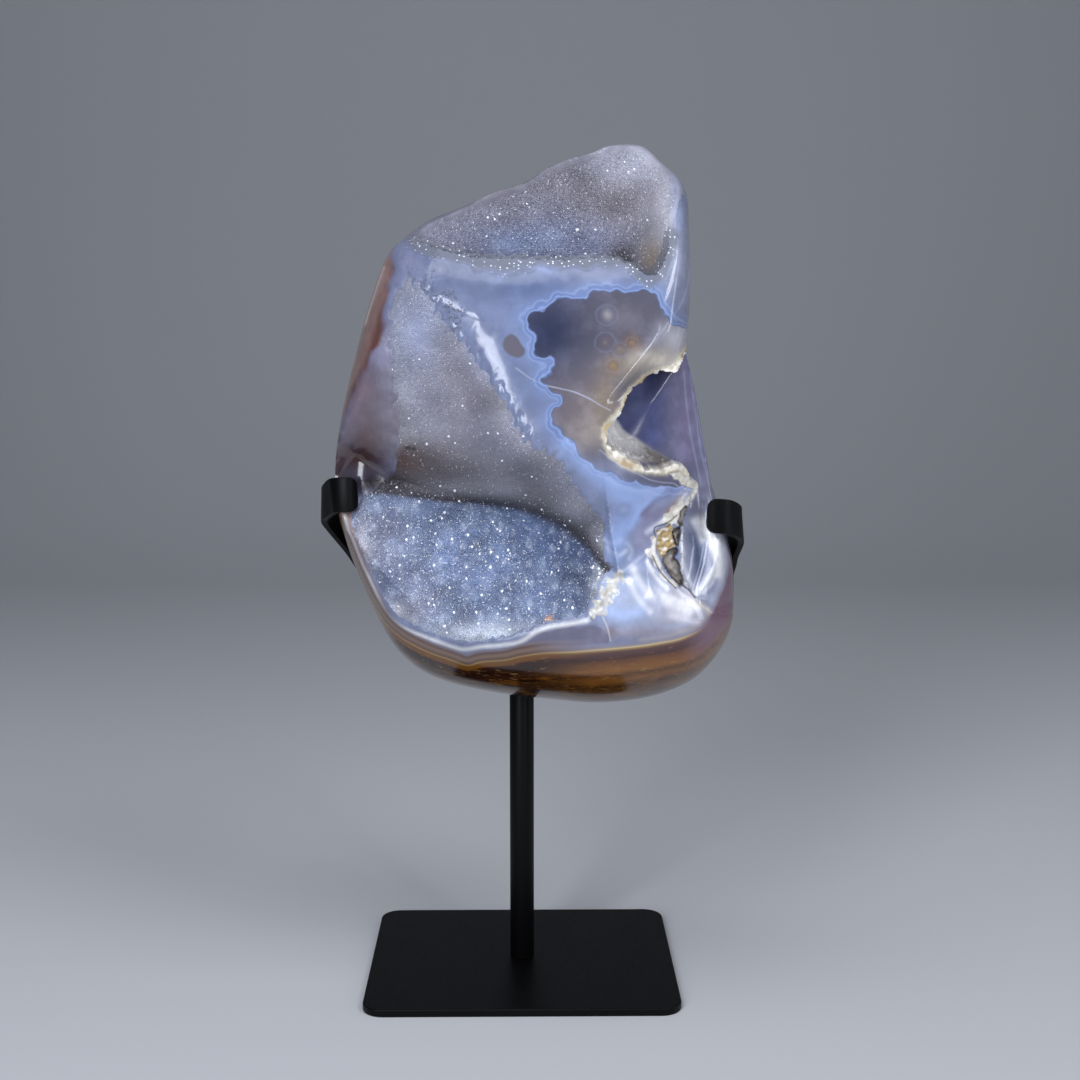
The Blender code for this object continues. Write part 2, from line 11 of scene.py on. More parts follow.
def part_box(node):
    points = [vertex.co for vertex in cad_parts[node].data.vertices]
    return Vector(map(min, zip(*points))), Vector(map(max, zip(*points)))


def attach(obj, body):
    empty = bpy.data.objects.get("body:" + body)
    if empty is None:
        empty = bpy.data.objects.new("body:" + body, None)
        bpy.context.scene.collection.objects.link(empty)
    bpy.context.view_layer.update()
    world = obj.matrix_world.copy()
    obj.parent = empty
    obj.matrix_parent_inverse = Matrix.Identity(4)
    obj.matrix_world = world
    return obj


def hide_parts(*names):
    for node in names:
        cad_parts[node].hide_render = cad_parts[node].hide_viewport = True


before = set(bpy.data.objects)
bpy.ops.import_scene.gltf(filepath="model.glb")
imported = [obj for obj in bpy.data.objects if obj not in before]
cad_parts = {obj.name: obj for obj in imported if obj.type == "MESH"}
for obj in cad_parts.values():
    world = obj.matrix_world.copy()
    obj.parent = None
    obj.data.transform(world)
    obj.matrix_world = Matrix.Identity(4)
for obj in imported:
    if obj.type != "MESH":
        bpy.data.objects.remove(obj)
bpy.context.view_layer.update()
scene = bpy.context.scene
mm = 0.001

# The relief is worked in millimetres: x to the right, z up, depth towards the viewer.
stoneY = -15
core = (4, 212)

outline = [
    (38, 320), (44.8, 318.9), (51.4, 313.4), (57.9, 307.2), (61, 299.9), (61.6, 289), (62.1, 274.6),
    (61.8, 260.1), (60.6, 246.8), (63.5, 234.2), (67.1, 215.7), (70.9, 197), (75.5, 182), (79.7, 167.3),
    (80.7, 153.8), (79.5, 141.5), (73.9, 129.8), (64.2, 120.1), (49.1, 114.1), (30, 111.9), (10.8, 113.5),
    (-8, 116.1), (-26.7, 120.6), (-38.8, 126.3), (-47.6, 134.9), (-54.6, 147.4), (-60.3, 160.2),
    (-64.9, 172.7), (-68.4, 185), (-69.5, 196.9), (-68.7, 210.1), (-66, 225), (-62.1, 241), (-57.6, 257.1),
    (-53, 271), (-48.9, 280.4), (-43.2, 286), (-33.4, 292.8), (-21.6, 297.4), (-9.5, 303), (0.4, 305.9),
    (9.9, 311.4), (18.7, 315), (26.6, 317.2), (31, 319.2),
]
valley = [
    (-66, 193.2, 9), (-52, 194, 10.3), (-45, 193.2, 11), (-30, 191, 12), (-4, 189.9, 13), (7, 187.3, 14),
    (15, 183.9, 16), (23.5, 177.9, 19), (29, 170.5, 24), (34, 160, 34),
]
frontDruzy = [
    (-42, 276), (-37.5, 275), (-33.5, 268), (-27.4, 256.4), (-17.7, 245.5), (-8.9, 232.6), (-2.5, 221.9),
    (3, 213.4), (14, 208), (20.5, 199.2), (27.1, 191.3), (31.4, 185.2), (30.6, 178.8), (31.5, 173),
    (34.4, 168.6), (30.4, 165.4), (27.2, 159.5), (24.4, 154.5), (20.9, 151.4), (12.3, 150), (2.8, 147),
    (-7.7, 143.5), (-18.4, 141.8), (-28, 143.2), (-38.9, 146.9), (-48, 151.8), (-54.2, 162.8), (-58, 170),
    (-61.5, 178), (-64, 186), (-59, 193.5), (-50, 199), (-45, 208), (-43.5, 221), (-45.5, 236), (-46, 252),
    (-45.5, 264),
]
frontHollow = frontDruzy[:28] + [
    (-67, 176), (-76, 190), (-76, 215), (-70, 228), (-56, 246), (-49, 262),
]
nicheLip = [
    (-41.5, 286.6), (-38, 284.4), (-32.6, 283), (-28, 281.3), (-22.8, 279.9), (-14.4, 278.5), (-0.4, 278.2),
    (13.7, 277.8), (27.7, 278.5), (35.5, 277.1), (40.6, 275), (45, 272.2), (48, 273.8), (51, 279.6),
    (53, 286.6), (55.4, 294.6), (59, 301.5),
]
nicheCavity = nicheLip + [(72, 312), (60, 332), (10, 332), (-50, 306)]
nicheDruzy = nicheLip[1:-1] + [
    (57.4, 299.2), (56.6, 306), (50.4, 311.8), (44, 317.2), (37.8, 318.4), (30.8, 317.6), (26.4, 315.6),
    (18.6, 313.4), (9.9, 309.8), (0.4, 304.4), (-9.3, 301.4), (-21.2, 295.8), (-32.4, 291.2),
]
sideHollow = [
    (57.8, 245.4), (54.2, 239.8), (49.2, 239.4), (45.7, 238.3), (42.2, 235.9), (38.6, 233.4), (36.5, 230.6),
    (35, 226.3), (31.6, 223.1), (29, 219.9), (28.7, 215.6), (29.9, 211.7), (33.1, 208.1), (37.4, 205.2),
    (42.4, 204.5), (49.6, 203), (55, 204.1), (59, 201.3), (62.2, 197.7), (60.5, 192.6), (58.4, 187.2),
    (57.4, 181.6), (57.2, 174.4), (58, 165.2), (62.6, 157.2), (72, 150), (90, 150), (90, 215), (76, 238),
    (68, 250),
]
sideDruzy = [
    (30.6, 219.6), (34, 220.6), (36.8, 216.8), (42.2, 213.6), (47.6, 210), (53.4, 206.6), (55, 205.4),
    (49.6, 204.4), (42.6, 205.9), (38, 206.6), (34.2, 209.4), (31.2, 212.6), (30.2, 216.2),
]
bulgeTop = [
    (30, 163.5), (35.3, 168.3), (38.1, 170.4), (41.7, 173.1), (44.5, 175.1), (47, 171.2), (52.4, 164.6),
    (60, 158.7), (68.8, 153.8), (72, 151),
]
crackHoles = [  # the open places in the crack beside the bulge
    [(58.9, 190.6), (57.2, 188.4), (56.2, 184.9), (57.8, 183.8), (58.8, 186.9), (60.2, 189)],
    [(54.3, 180), (54.7, 182.4), (56.6, 183.2), (56.6, 180.5), (56.2, 176.9), (54.9, 177.4)],
    [(53.3, 175.6), (55.4, 176.1), (55.4, 174.5), (54.8, 172.5), (56.2, 170.3), (56.6, 167.8),
     (57.6, 166), (57.6, 163.9), (56.8, 162.6), (55.2, 163.8), (53.2, 166.4), (51.4, 169.2),
     (50.4, 171.6), (50.9, 173.3)],
]

facets = {  # a point of each polished plane, its depth, and its slopes in x and z
    "main": ((26, 253), 38, 0, -0.19),
    "ledge": ((0, 268), 34, 0, -0.6),
    "right": ((34.6, 234), 41.6, -1.1, 0.71),
    "rightEnd": ((34.6, 228), 41.6, 0, -1.2),
    "side": ((48, 228), 16, -0.62, -0.2),
}


def smoothStep(low, high, value):
    share = np.clip((value - low) / (high - low), 0, 1)
    return share * share * (3 - 2 * share)


def smoothMin(a, b, radius):
    share = np.clip(0.5 + 0.5 * (b - a) / radius, 0, 1)
    return b + (a - b) * share - radius * share * (1 - share)


def smoothMax(a, b, radius):
    return -smoothMin(-a, -b, radius)


def softRamp(value, radius):
    return radius * np.logaddexp(0, value / radius)


def spot(x, z, centreX, centreZ, radiusX, radiusZ):
    # a soft round patch, 1 at its centre
    return np.exp(-(((x - centreX) / radiusX) ** 2) - ((z - centreZ) / radiusZ) ** 2)


def curveThrough(points, steps, closed):
    p = np.array(points, float)
    before, after, last = np.roll(p, 1, 0), np.roll(p, -1, 0), np.roll(p, -2, 0)
    if not closed:
        before[0] = 2 * p[0] - p[1]
        last[-2] = 2 * p[-1] - p[-2]
    t = (np.arange(steps) / steps)[None, :, None]
    a, b, c, d = (q[:, None, :] for q in (before, p, after, last))
    square, cube = 2 * a - 5 * b + 4 * c - d, 3 * b - a - 3 * c + d
    curve = 0.5 * (2 * b + (c - a) * t + square * t**2 + cube * t**3)
    if closed:
        return curve.reshape(-1, p.shape[1])
    return np.vstack([curve[:-1].reshape(-1, p.shape[1]), p[-1:]])


def evenSteps(line, spacing, closed):
    if closed:
        line = np.vstack([line, line[:1]])
    lengths = np.concatenate([[0], np.cumsum(np.linalg.norm(np.diff(line, axis=0), axis=1))])
    count = max(4, round(lengths[-1] / spacing))
    at = np.linspace(0, lengths[-1], count + 1)
    if closed:
        at = at[:-1]
    return np.stack([np.interp(at, lengths, line[:, k]) for k in range(line.shape[1])], 1)


def lineDistance(x, z, line, closed=False):
    # distance to a drawn line, in mm
    p = np.stack([np.ravel(x), np.ravel(z)], 1)
    nearest = np.full(len(p), 1e9)
    ends = np.roll(line, -1, 0) if closed else line[1:]
    for a, b in zip(line, ends):
        side = b - a
        share = np.clip(((p - a) @ side) / max(side @ side, 1e-12), 0, 1)
        nearest = np.minimum(nearest, np.linalg.norm(p - a - share[:, None] * side, axis=1))
    return nearest.reshape(np.shape(x))


def depthInside(x, z, loop):
    # distance to a closed outline, positive inside it
    px, pz = np.ravel(x), np.ravel(z)
    inside = np.zeros(len(px), bool)
    for a, b in zip(loop, np.roll(loop, -1, 0)):
        straddles = (a[1] > pz) != (b[1] > pz)
        rise = b[1] - a[1] if b[1] != a[1] else 1e-12
        inside ^= straddles & (px < a[0] + (b[0] - a[0]) * (pz - a[1]) / rise)
    away = np.ravel(lineDistance(px, pz, loop, closed=True))
    return np.where(inside, away, -away).reshape(np.shape(x))


def waves(x, z, size, seed):
    # smooth noise from -1 to 1 out of a few crossed waves, about one swelling per size
    dice = np.random.RandomState(seed)
    total = np.zeros(np.shape(x))
    for _ in range(9):
        turn, phase = dice.uniform(0, 2 * math.pi, 2)
        pitch = 2 * math.pi / (size * dice.uniform(1.3, 2.8))
        total += np.sin(pitch * (x * math.cos(turn) + z * math.sin(turn)) + phase)
    return total / 4


def cells(x, z, size, seed):
    # squared distance to the nearest of a set of scattered seeds, over the seed spacing
    dice = np.random.RandomState(seed)
    columns, rows = np.meshgrid(np.arange(-90, 110, size), np.arange(90, 340, size))
    cx = columns.ravel() + dice.uniform(-0.4, 0.4, columns.size) * size
    cz = rows.ravel() + dice.uniform(-0.4, 0.4, rows.size) * size
    nearest = np.full(np.shape(x), 1e9)
    for a, b in zip(cx, cz):
        nearest = np.minimum(nearest, (x - a) ** 2 + (z - b) ** 2)
    return nearest / size**2


def facet(x, z, name):
    (x0, z0), depth, slopeX, slopeZ = facets[name]
    return depth + slopeX * (x - x0) + slopeZ * (z - z0)


rim = curveThrough(outline, 8, closed=True)
rimAngle = np.arctan2(rim[:, 1] - core[1], rim[:, 0] - core[0])
rimRadius = np.hypot(rim[:, 0] - core[0], rim[:, 1] - core[1])
rimOrder = np.argsort(rimAngle)
hollowLoop = curveThrough(frontHollow, 4, closed=True)


def jagged(points, amount, seed):
    # the same outline with a broken edge
    loop = evenSteps(curveThrough(points, 6, closed=True), 0.55, closed=True)
    dice = np.random.RandomState(seed)
    sway = np.zeros(len(loop))
    for width in (1, 3, 7):
        rough = dice.uniform(-1, 1, len(loop))
        kernel = np.ones(width) / math.sqrt(width)
        sway += np.convolve(np.concatenate([rough, rough[:width]]), kernel, "same")[: len(loop)]
    along = np.roll(loop, -1, 0) - np.roll(loop, 1, 0)
    aside = np.stack([along[:, 1], -along[:, 0]], 1) / np.linalg.norm(along, axis=1)[:, None]
    return loop + aside * (amount * np.clip(sway / 2, -1.2, 1.2))[:, None]


nicheLoop = jagged(nicheCavity, 0.35, seed=41)
sideLoop = jagged(sideHollow, 0.45, seed=42)
holeLoops = [jagged(hole, 0.35, seed=43 + k) for k, hole in enumerate(crackHoles)]


def rimShare(x, z):
    # 0 at the core and 1 on the outline
    angle = np.arctan2(z - core[1], x - core[0])
    reach = np.interp(angle, rimAngle[rimOrder], rimRadius[rimOrder], period=2 * math.pi)
    return np.hypot(x - core[0], z - core[1]) / reach


def rimWander(x, z):
    angle = np.arctan2(z - core[1], x - core[0])
    sway = 2.2 * np.sin(2 * angle + 0.6) + 1.3 * np.sin(3 * angle + 2)
    return sway * np.minimum(rimShare(x, z), 1) ** 4


def polishedDepth(x, z):
    bulge = 43.85 + 12 * smoothStep(190, 120, z) - 8 * smoothStep(240, 320, z)
    boxy = smoothStep(16, 42, x) * smoothStep(216, 238, z) * smoothStep(300, 276, z)
    dome = bulge * np.sqrt(np.clip(1 - rimShare(x, z) ** (3.2 + 2.8 * boxy), 0, 1))
    right = smoothMax(facet(x, z, "right"), facet(x, z, "rightEnd"), 4)
    face = smoothMin(facet(x, z, "main"), facet(x, z, "ledge"), 5) + 0.12 * waves(x, z, 7, seed=99)
    return smoothMin(smoothMin(face, right, 2.2), dome, 3)


def frontHollowDepth(x, z):
    line = np.array(valley).T
    level, depth = np.interp(x, line[0], line[1]), np.interp(x, line[0], line[2])
    above = np.maximum(z - level, -12)
    below = np.maximum(level - z, -12)
    lean = 0.2 * np.minimum(x + 15, 0)
    wall = depth + 20 * (1 - np.exp(-above / 22)) + 0.07 * above + lean
    floor = depth + 21 * (1 - np.exp(-below / 34)) + 0.3 * below
    lumps = 1.8 * (1 - cells(x, z, 19, seed=3)) + 0.9 * (1 - cells(x, z, 9.5, seed=4))
    return smoothMax(wall, floor, 2.5) + lumps - 1.4


def bulgeCarve(x, z):
    # the surface steps back above the bulge, and the bulge rolls over to meet it
    over = z - np.interp(x, *np.array(bulgeTop).T)
    rolled = 3 * np.clip(1 + over / 11, 0, 1) ** 2
    behind = (3 + 1.3 * smoothStep(0, 0.9, over)) * smoothStep(208, 188, z)
    return np.where(over < 0, rolled, behind) * smoothStep(22, 46, x)


def faceDepth(x, z):
    polished = polishedDepth(x, z) - bulgeCarve(x, z)
    inside = depthInside(x, z, hollowLoop)
    # the crest is broad above and tight beside the bowl
    wide = np.maximum(smoothStep(200, 226, z), smoothStep(8, 22, x) * smoothStep(150, 165, z))
    high, low = spot(x, z, -20, 259, 13, 11), spot(x, z, -2, 228, 13, 15)
    breadth = 1.5 + 3 * wide + 2.4 * high + 2.6 * low
    wornAndSheen = polished - 0.95 * softRamp(inside - 0.5 + 1.5 * wide - 8 * low, breadth)
    carved = smoothMin(polished, smoothMax(wornAndSheen, frontHollowDepth(x, z), 1.5), 0.6)
    return carved + rimWander(x, z)


def nicheDepth(x, z):
    lift = 4 + 5 * ((x - 12) / 46) ** 2 - 0.12 * (z - 290)
    right = softRamp(x - 42.5 - 0.15 * (z - 280), 3) * 1.7
    return lift + right + 2.6 * (1 - cells(x, z, 21, seed=8)) - 1.3


def nicheSkin(x, z, face):
    # the niche cuts the face sharply at its lip, and rolls over to the polished strip on its right
    return smoothMin(face, nicheDepth(x, z), 0.1 + 4 * smoothStep(42, 50, x))


def sideDepth(x, z):
    plane = facet(x, z, "side") + 0.42 * softRamp(192 - z, 4)
    trough = np.interp(z, (160, 168, 175, 184), (62.5, 65.6, 67.4, 67))
    crest = np.interp(z, (160, 168, 180, 188), (76.5, 75, 71.8, 69))
    fluted = 1.6 * np.exp(-(((x - crest) / 2.6) ** 2)) - 2.6 * np.exp(-(((x - trough) / 3.4) ** 2))
    plane = plane + smoothStep(200, 188, z) * fluted
    # a second face leans away from one straight crease and runs out below it
    aside = 0.598 * (z - 226.4) - 0.802 * (x - 47.1)
    along = 0.598 * (x - 47.1) + 0.802 * (z - 226.4)
    scoop = plane - 0.72 * softRamp(aside, 0.15 + 0.5 * softRamp(-along, 1.5))
    ledge = 30 - 1.98 * (z - 203) - 1.1 * np.maximum(x - 34, 0)
    return np.maximum(scoop, np.where(x < 58, ledge, -99))


def backDepth(x, z):
    dome = np.sqrt(np.clip(1 - rimShare(x, z) ** 2.6, 0, 1))
    swelling = 3 * (1 - cells(x, z, 34, seed=5))
    return rimWander(x, z) - dome * (40 + swelling)


def worldOf(x, z, depth):
    return np.stack([x, stoneY - depth, z], 1) * mm


def lattice(low, high, spacing, seed, jitter=0.22):
    rowHeight = spacing * math.sqrt(0.75)
    rows = np.arange(low[1], high[1], rowHeight)
    columns = np.arange(low[0], high[0], spacing)
    x, z = np.meshgrid(columns, rows)
    x = x + (np.arange(len(rows)) % 2)[:, None] * spacing / 2
    points = np.stack([x.ravel(), z.ravel()], 1)
    return points + np.random.RandomState(seed).uniform(-jitter, jitter, points.shape) * spacing


def triangulate(loop, inner):
    # triangles between a closed border and the points inside it
    border = len(loop)
    edges = [(k, (k + 1) % border) for k in range(border)]
    spots = [Vector(p) for p in np.vstack([loop, inner])]
    points, _, faces, *_ = geometry.delaunay_2d_cdt(spots, edges, [], 1, 1e-5)
    return np.array([tuple(p) for p in points]), np.array([tuple(f) for f in faces])


def meshObject(name, vertices, faces, material):
    mesh = bpy.data.meshes.new(name)
    mesh.from_pydata(vertices.tolist(), [], faces.tolist())
    made = bpy.data.objects.new(name, mesh)
    scene.collection.objects.link(made)
    mesh.materials.append(material)
    return made


def faceOutwards(obj):
    body = bmesh.new()
    body.from_mesh(obj.data)
    bmesh.ops.recalc_face_normals(body, faces=body.faces)
    body.to_mesh(obj.data)
    body.free()


def linear(code):
    values = np.array([int(code[k : k + 2], 16) for k in (0, 2, 4)]) / 255
    return np.where(values <= 0.04045, values / 12.92, ((values + 0.055) / 1.055) ** 2.4)


def numberAttribute(obj, name, values, domain="POINT"):
    data = obj.data.attributes.new(name, "FLOAT", domain).data
    data.foreach_set("value", np.ascontiguousarray(values, np.float32))


def colourAttribute(obj, name, rgb):
    rgba = np.concatenate([rgb, np.ones((len(rgb), 1))], 1).astype(np.float32)
    obj.data.attributes.new(name, "FLOAT_COLOR", "POINT").data.foreach_set("color", rgba.ravel())


def feed(node, inputs):
    # gives a node's inputs their values, or links them to other nodes' outputs
    for socket, value in inputs:
        if isinstance(value, bpy.types.NodeSocket):
            node.id_data.links.new(value, node.inputs[socket])
        else:
            node.inputs[socket].default_value = value


nodeKinds = {  # type, settings, the inputs that the values go to in turn, and the output that is read
    "place": ("TexCoord", {}, (), "Object"),
    "number": ("Attribute", {}, (), "Fac"),
    "colour": ("Attribute", {}, (), "Color"),
    "axis": ("SeparateXYZ", {}, (0,), 0),
    "channel": ("SeparateColor", {}, (0,), 0),
    "stretch": ("Mapping", {}, (0, 3), 0),
    "noise": ("TexNoise", {}, ("Vector", "Scale", "Detail", "Roughness"), 0),  # 1000 / size in mm
    "cells": ("TexVoronoi", {}, ("Vector", "Scale"), "Distance"),
    "add": ("Math", {"operation": "ADD"}, (0, 1), 0),
    "multiply": ("Math", {"operation": "MULTIPLY"}, (0, 1), 0),
    "multiplyAdd": ("Math", {"operation": "MULTIPLY_ADD"}, (0, 1, 2), 0),
    "maximum": ("Math", {"operation": "MAXIMUM"}, (0, 1), 0),
    "smooth": ("MapRange", {"interpolation_type": "SMOOTHSTEP"}, (0, 1, 2, 3, 4), 0),
    "mix": ("Mix", {"data_type": "RGBA"}, (0, 6, 7), 2),
    "tint": ("Mix", {"data_type": "RGBA", "blend_type": "MULTIPLY"}, (0, 6, 7), 2),
    "ramp": ("ValToRGB", {}, (0,), "Color"),
    "bump": ("Bump", {}, ("Strength", "Distance", "Height"), 0),
}


def addNode(tree, kind, *values, **settings):
    # one shader node with its settings and links; gives back the output that is read
    typeName, usual, sockets, output = nodeKinds[kind]
    node = tree.nodes.new("ShaderNode" + typeName)
    for key, value in {**usual, **settings}.items():
        setattr(node, key, value)
    feed(node, zip(sockets, values))
    return node.outputs[output]


def newMaterial(name):
    # a material, what adds a node to it, and its shader
    material = bpy.data.materials.new(name)
    material.use_nodes = True
    return material, partial(addNode, material.node_tree), material.node_tree.nodes["Principled BSDF"]


def rgba(code, alpha=1):
    return (*linear(code), alpha)


print("polished agate")
stoneSettings = {
    "grid": 0.72, "edgeGrid": 0.45, "rimStep": 1.15, "backGrid": 1.9, "sunk": 0.85,
    "rimShares": (0.9985, 0.995, 0.989, 0.98, 0.968, 0.952, 0.932, 0.909),
}
brokenPatches = [  # raw stone where the polish has broken away: colour, drop, raggedness, outline
    ("D8D2C4", 0.3, 0.45, [
        (55.8, 203.3), (61.2, 199.7), (65.1, 196.6), (64.7, 193.4), (62.3, 190.6), (59, 189.6), (57.4, 187),
        (56.2, 184.1), (52.4, 185), (48.8, 185.1), (51.4, 188.5), (54.4, 191.4), (57.1, 194.7),
        (57.9, 197.4), (56, 200), (52.5, 202.7),
    ]),
    ("AC9464", 0.9, 0.45, [
        (48, 182.1), (50.2, 183.6), (52.8, 184.6), (55, 182.9), (54.5, 180.7), (55.2, 177.1), (53.5, 176.1),
        (52, 174.4), (50.2, 172.8), (48.3, 175), (47.6, 177.1), (48, 179.6),
    ]),
    ("E4E0DA", 0.2, 0.6, [
        (47.6, 181.6), (45.9, 180), (47.2, 177.8), (45.2, 176.9), (44.1, 175.3), (46.7, 171.5),
        (49.6, 166.8), (52.9, 163.4), (55.1, 162.2), (56.6, 163.2), (52.8, 165.4), (50.6, 168.6),
        (48.9, 171.9), (47.6, 174.6),
    ]),
    ("C6C4BE", 0.1, 1.6, [
        (35.3, 169), (33.2, 167.9), (30.4, 165.4), (28.7, 162.5), (26.9, 158.9), (24.2, 156.2),
        (23.4, 153.6), (27.6, 152.6), (29.7, 155.6), (31.1, 158.1), (32.5, 161.3), (33.9, 164), (36, 166.9),
    ]),
]
thinLines = [  # colour, reach to each side, strength, points
    ("B4B8C8", 0.45, 0.7, [  # hair crack
        (-1.8, 240.2), (3, 236.8), (8.2, 234.4), (13.4, 233.2), (18.6, 231.9), (23.8, 229.6), (27.3, 227.5),
        (30.8, 225.7),
    ]),
    ("C3C9DC", 0.45, 0.4, [
        (27.4, 211.9), (31.6, 208.4), (36.2, 205.5), (41.5, 202.9), (45.2, 201), (49.6, 199.8), (54, 199.1),
        (56.3, 197.5),
    ]),
    ("211D1C", 0.45, 1.00, [(56.9, 163.9), (58.1, 162.3), (60, 160.7), (62.2, 157.9)]),
    ("3A3230", 0.4, 0.9, [(47.4, 180.6), (47.2, 183.6), (50.2, 184.6), (52.8, 185.6), (55.4, 187.4)]),
    ("2E2A2C", 0.4, 0.9, [(46.6, 173.6), (49, 168.6), (52, 165), (55, 162)]),
    ("DCDCDE", 1.4, 0.9, [  # pale rim of the bowl
        (-64.8, 185.6), (-61.7, 177.2), (-58.4, 169), (-55.6, 163.8), (-52.5, 156.9), (-48.9, 150.8),
        (-43.7, 147.2), (-34.8, 144.6), (-28.7, 142.7), (-22.2, 140.7), (-18.4, 140.8), (-14.7, 141.7),
        (-7.7, 142.5), (-0.7, 143.8), (5.2, 147.6), (10.2, 149.4), (17, 150.6), (23, 151.6),
    ]),
    ("D8DAE2", 0.45, 0.6, [(28.7, 152.8), (30.1, 149.8), (30.9, 146.8), (31.3, 144.6)]),
    ("C9BCCB", 0.45, 0.7, [(77, 157), (72.1, 154.4), (69.2, 152)]),
    ("C6CCE0", 0.6, 0.3, [  # painted highlight along the edge between two polished planes
        (61.2, 276), (59.3, 269), (56.6, 262.6), (53.3, 258.4), (48.7, 252.5), (45, 248), (41.4, 244.6),
    ]),
    # painted highlight along a branch of the same edge
    ("C6CCE0", 0.45, 0.45, [(53.3, 258.4), (56.7, 256.2), (58.8, 252.2)]),
    ("9EA1B6", 0.7, 0.45, [(59.9, 237.5), (60.7, 227.3), (62.1, 216.3), (64.4, 205.3), (66.4, 196)]),
    ("989BB2", 0.7, 0.4, [(62.3, 237.4), (64.2, 223.5), (66.4, 208.8), (69.5, 195.9)]),
]
strokes = [  # soft strokes of colour in the polish: colour, half width, strength, points
    # on the bulge the white strokes are painted highlights; the bluer and greyer ones are its streaks
    ("F8F8FA", 1.6, 0.6, [
        (39.5, 169.7), (41.7, 165.4), (45.3, 161), (49.6, 158.6), (54.8, 156.1), (60.1, 153.4),
    ]),
    ("FBFBFC", 1.2, 0.55, [(47.1, 162.3), (51.8, 159.2), (57.8, 156.9), (63.9, 154.4)]),
    ("F6F7FA", 1, 0.7, [(38.1, 166.1), (39.6, 161.9), (42.5, 157.5), (45.4, 154.5)]),
    ("FFFFFF", 0.8, 0.7, [(44.5, 172.3), (46, 168.8), (48.9, 165.1), (51.8, 162.1)]),
    ("9EA6C0", 1.2, 0.5, [(41.7, 171), (43.5, 166), (47.5, 160.9), (50.4, 154.2)]),
    ("A8B0C8", 1.6, 0.4, [(36.4, 162.7), (38.9, 157.6), (41.8, 152.5), (45.5, 148.6)]),
    ("AEC2EC", 2.6, 0.6, [(31.8, 154.9), (36.4, 153.4), (41.8, 154.7)]),
    ("B0BCD8", 1.4, 0.45, [(49.1, 148.4), (55, 148.7), (60.2, 149.7)]),
    ("EEEAF4", 1.2, 0.6, [(53.4, 152.6), (58.7, 150.6), (63.3, 149.2)]),
    ("BCAFA4", 0.7, 0.5, [
        (42, 144.3), (49.2, 144.8), (56.6, 146.3), (62.6, 147.8), (67.2, 150.9), (68, 152.6),
    ]),
    ("D8CCC0", 1, 0.6, [(62.7, 156), (66.3, 153.7), (68, 151.9)]),
    ("8C8698", 1.3, 0.55, [(29.8, 147.6), (35.5, 146), (41.9, 146.5), (49.1, 147.7)]),
    # on the right mass the white strokes are painted highlights and the dark blue ones painted shade in its
    # groove
    ("FFFFFF", 2, 1.00, [
        (66.3, 183.4), (67.7, 180.2), (69.7, 176.4), (71.5, 172.5), (72.4, 168.4), (71.8, 164.4),
    ]),
    ("F4F6FB", 1.4, 0.7, [(63.3, 183.5), (64.3, 180.3), (66, 176.8)]),
    ("46506E", 2.4, 0.75, [(62.3, 179.1), (63.3, 174.9), (64.2, 170.8), (64.7, 166.7)]),
    ("5A6688", 1, 0.45, [(67.4, 175.1), (69.1, 170.9), (69.6, 166.5)]),
    ("E8EBF4", 0.9, 0.75, [(57.3, 177.6), (58.4, 173.6), (58, 170.1), (59.2, 166.5), (61.2, 161.9)]),
    ("F8F9FC", 1.1, 0.8, [(64, 160.2), (66, 161.6), (68, 164.2), (69.6, 166.5)]),
    ("EEF0F8", 0.8, 0.7, [(61.9, 159.2), (64.7, 158.8), (67.4, 159.9), (69.8, 162.1)]),
    ("7C84A4", 1, 0.6, [(65.8, 158), (68.9, 159.8), (71.3, 162.4)]),
    ("98B0E0", 4, 0.45, [
        (15.5, 213), (19.3, 210), (28.8, 200.5), (34.4, 197.3), (40.1, 195.4), (45.2, 195.6),
    ]),
    ("BCD0F6", 1.2, 0.85, [
        (15.5, 215.1), (19.3, 212), (23.9, 207.1), (28.8, 202.9), (34.4, 199.3), (40.1, 197.4), (49.6, 197),
    ]),
    ("9DB6E8", 1, 0.6, [(49.6, 197), (46.6, 194.3), (43.4, 191.3), (40.5, 187.9), (38.4, 184.4)]),
    ("A2B8E4", 2.2, 0.5, [(35.2, 196.5), (40.1, 193.5), (39.5, 189.3), (36.6, 184.5), (33.9, 180.1)]),
    ("686080", 1.1, 0.75, [(42.7, 188.5), (44.5, 190.6), (47, 192.9), (50.3, 194.8), (53.3, 195.7)]),
    ("7E7896", 1.6, 0.5, [(45.2, 187), (48.8, 188.6), (53.3, 190.8), (56.3, 193.3)]),
    ("C0B8D0", 1.6, 0.6, [(44.4, 196.2), (50.3, 198.3), (55.6, 200), (57.9, 198.1), (57.9, 194.6)]),
    ("8E88A6", 1.4, 0.5, [(31.6, 204.9), (38, 203.4), (45.2, 201.7), (51.8, 200.7)]),
    ("DCE2F2", 0.8, 0.7, [(30.2, 176.9), (31.9, 175.4), (34.3, 174.5), (36.7, 176)]),
    ("C8D2EC", 0.9, 0.6, [(29.2, 179.6), (31.9, 178.5), (34.6, 179.8)]),
    ("C4CCE4", 0.9, 0.5, [(37.4, 178.5), (38.8, 176), (38.1, 173.2)]),
    ("D8DCEA", 1, 0.6, [(44.5, 182.2), (47.4, 184.1), (50.3, 186.1)]),
    # painted highlight along the left crest
    ("D8C8C0", 0.5, 0.6, [(-49.7, 275.2), (-51.9, 269.1), (-54.6, 261.9), (-56.9, 254.7)]),
    ("5A3A34", 1.2, 0.5, [(-48.3, 268.9), (-49.7, 261.9), (-51, 254.8)]),
    ("8E94AE", 0.5, 0.6, [(-17.8, 256), (-14.3, 250.5), (-10.8, 244.6), (-7.4, 240.2), (-4.9, 236.8)]),
    ("8698C8", 0.9, 0.4, [(-7.3, 270.5), (-3.2, 274), (3.1, 275.4), (10.1, 273.3)]),
    ("A08458", 0.8, 0.55, [(58.2, 198.4), (57, 195.2), (54.4, 191.8), (51.6, 188.8)]),
]


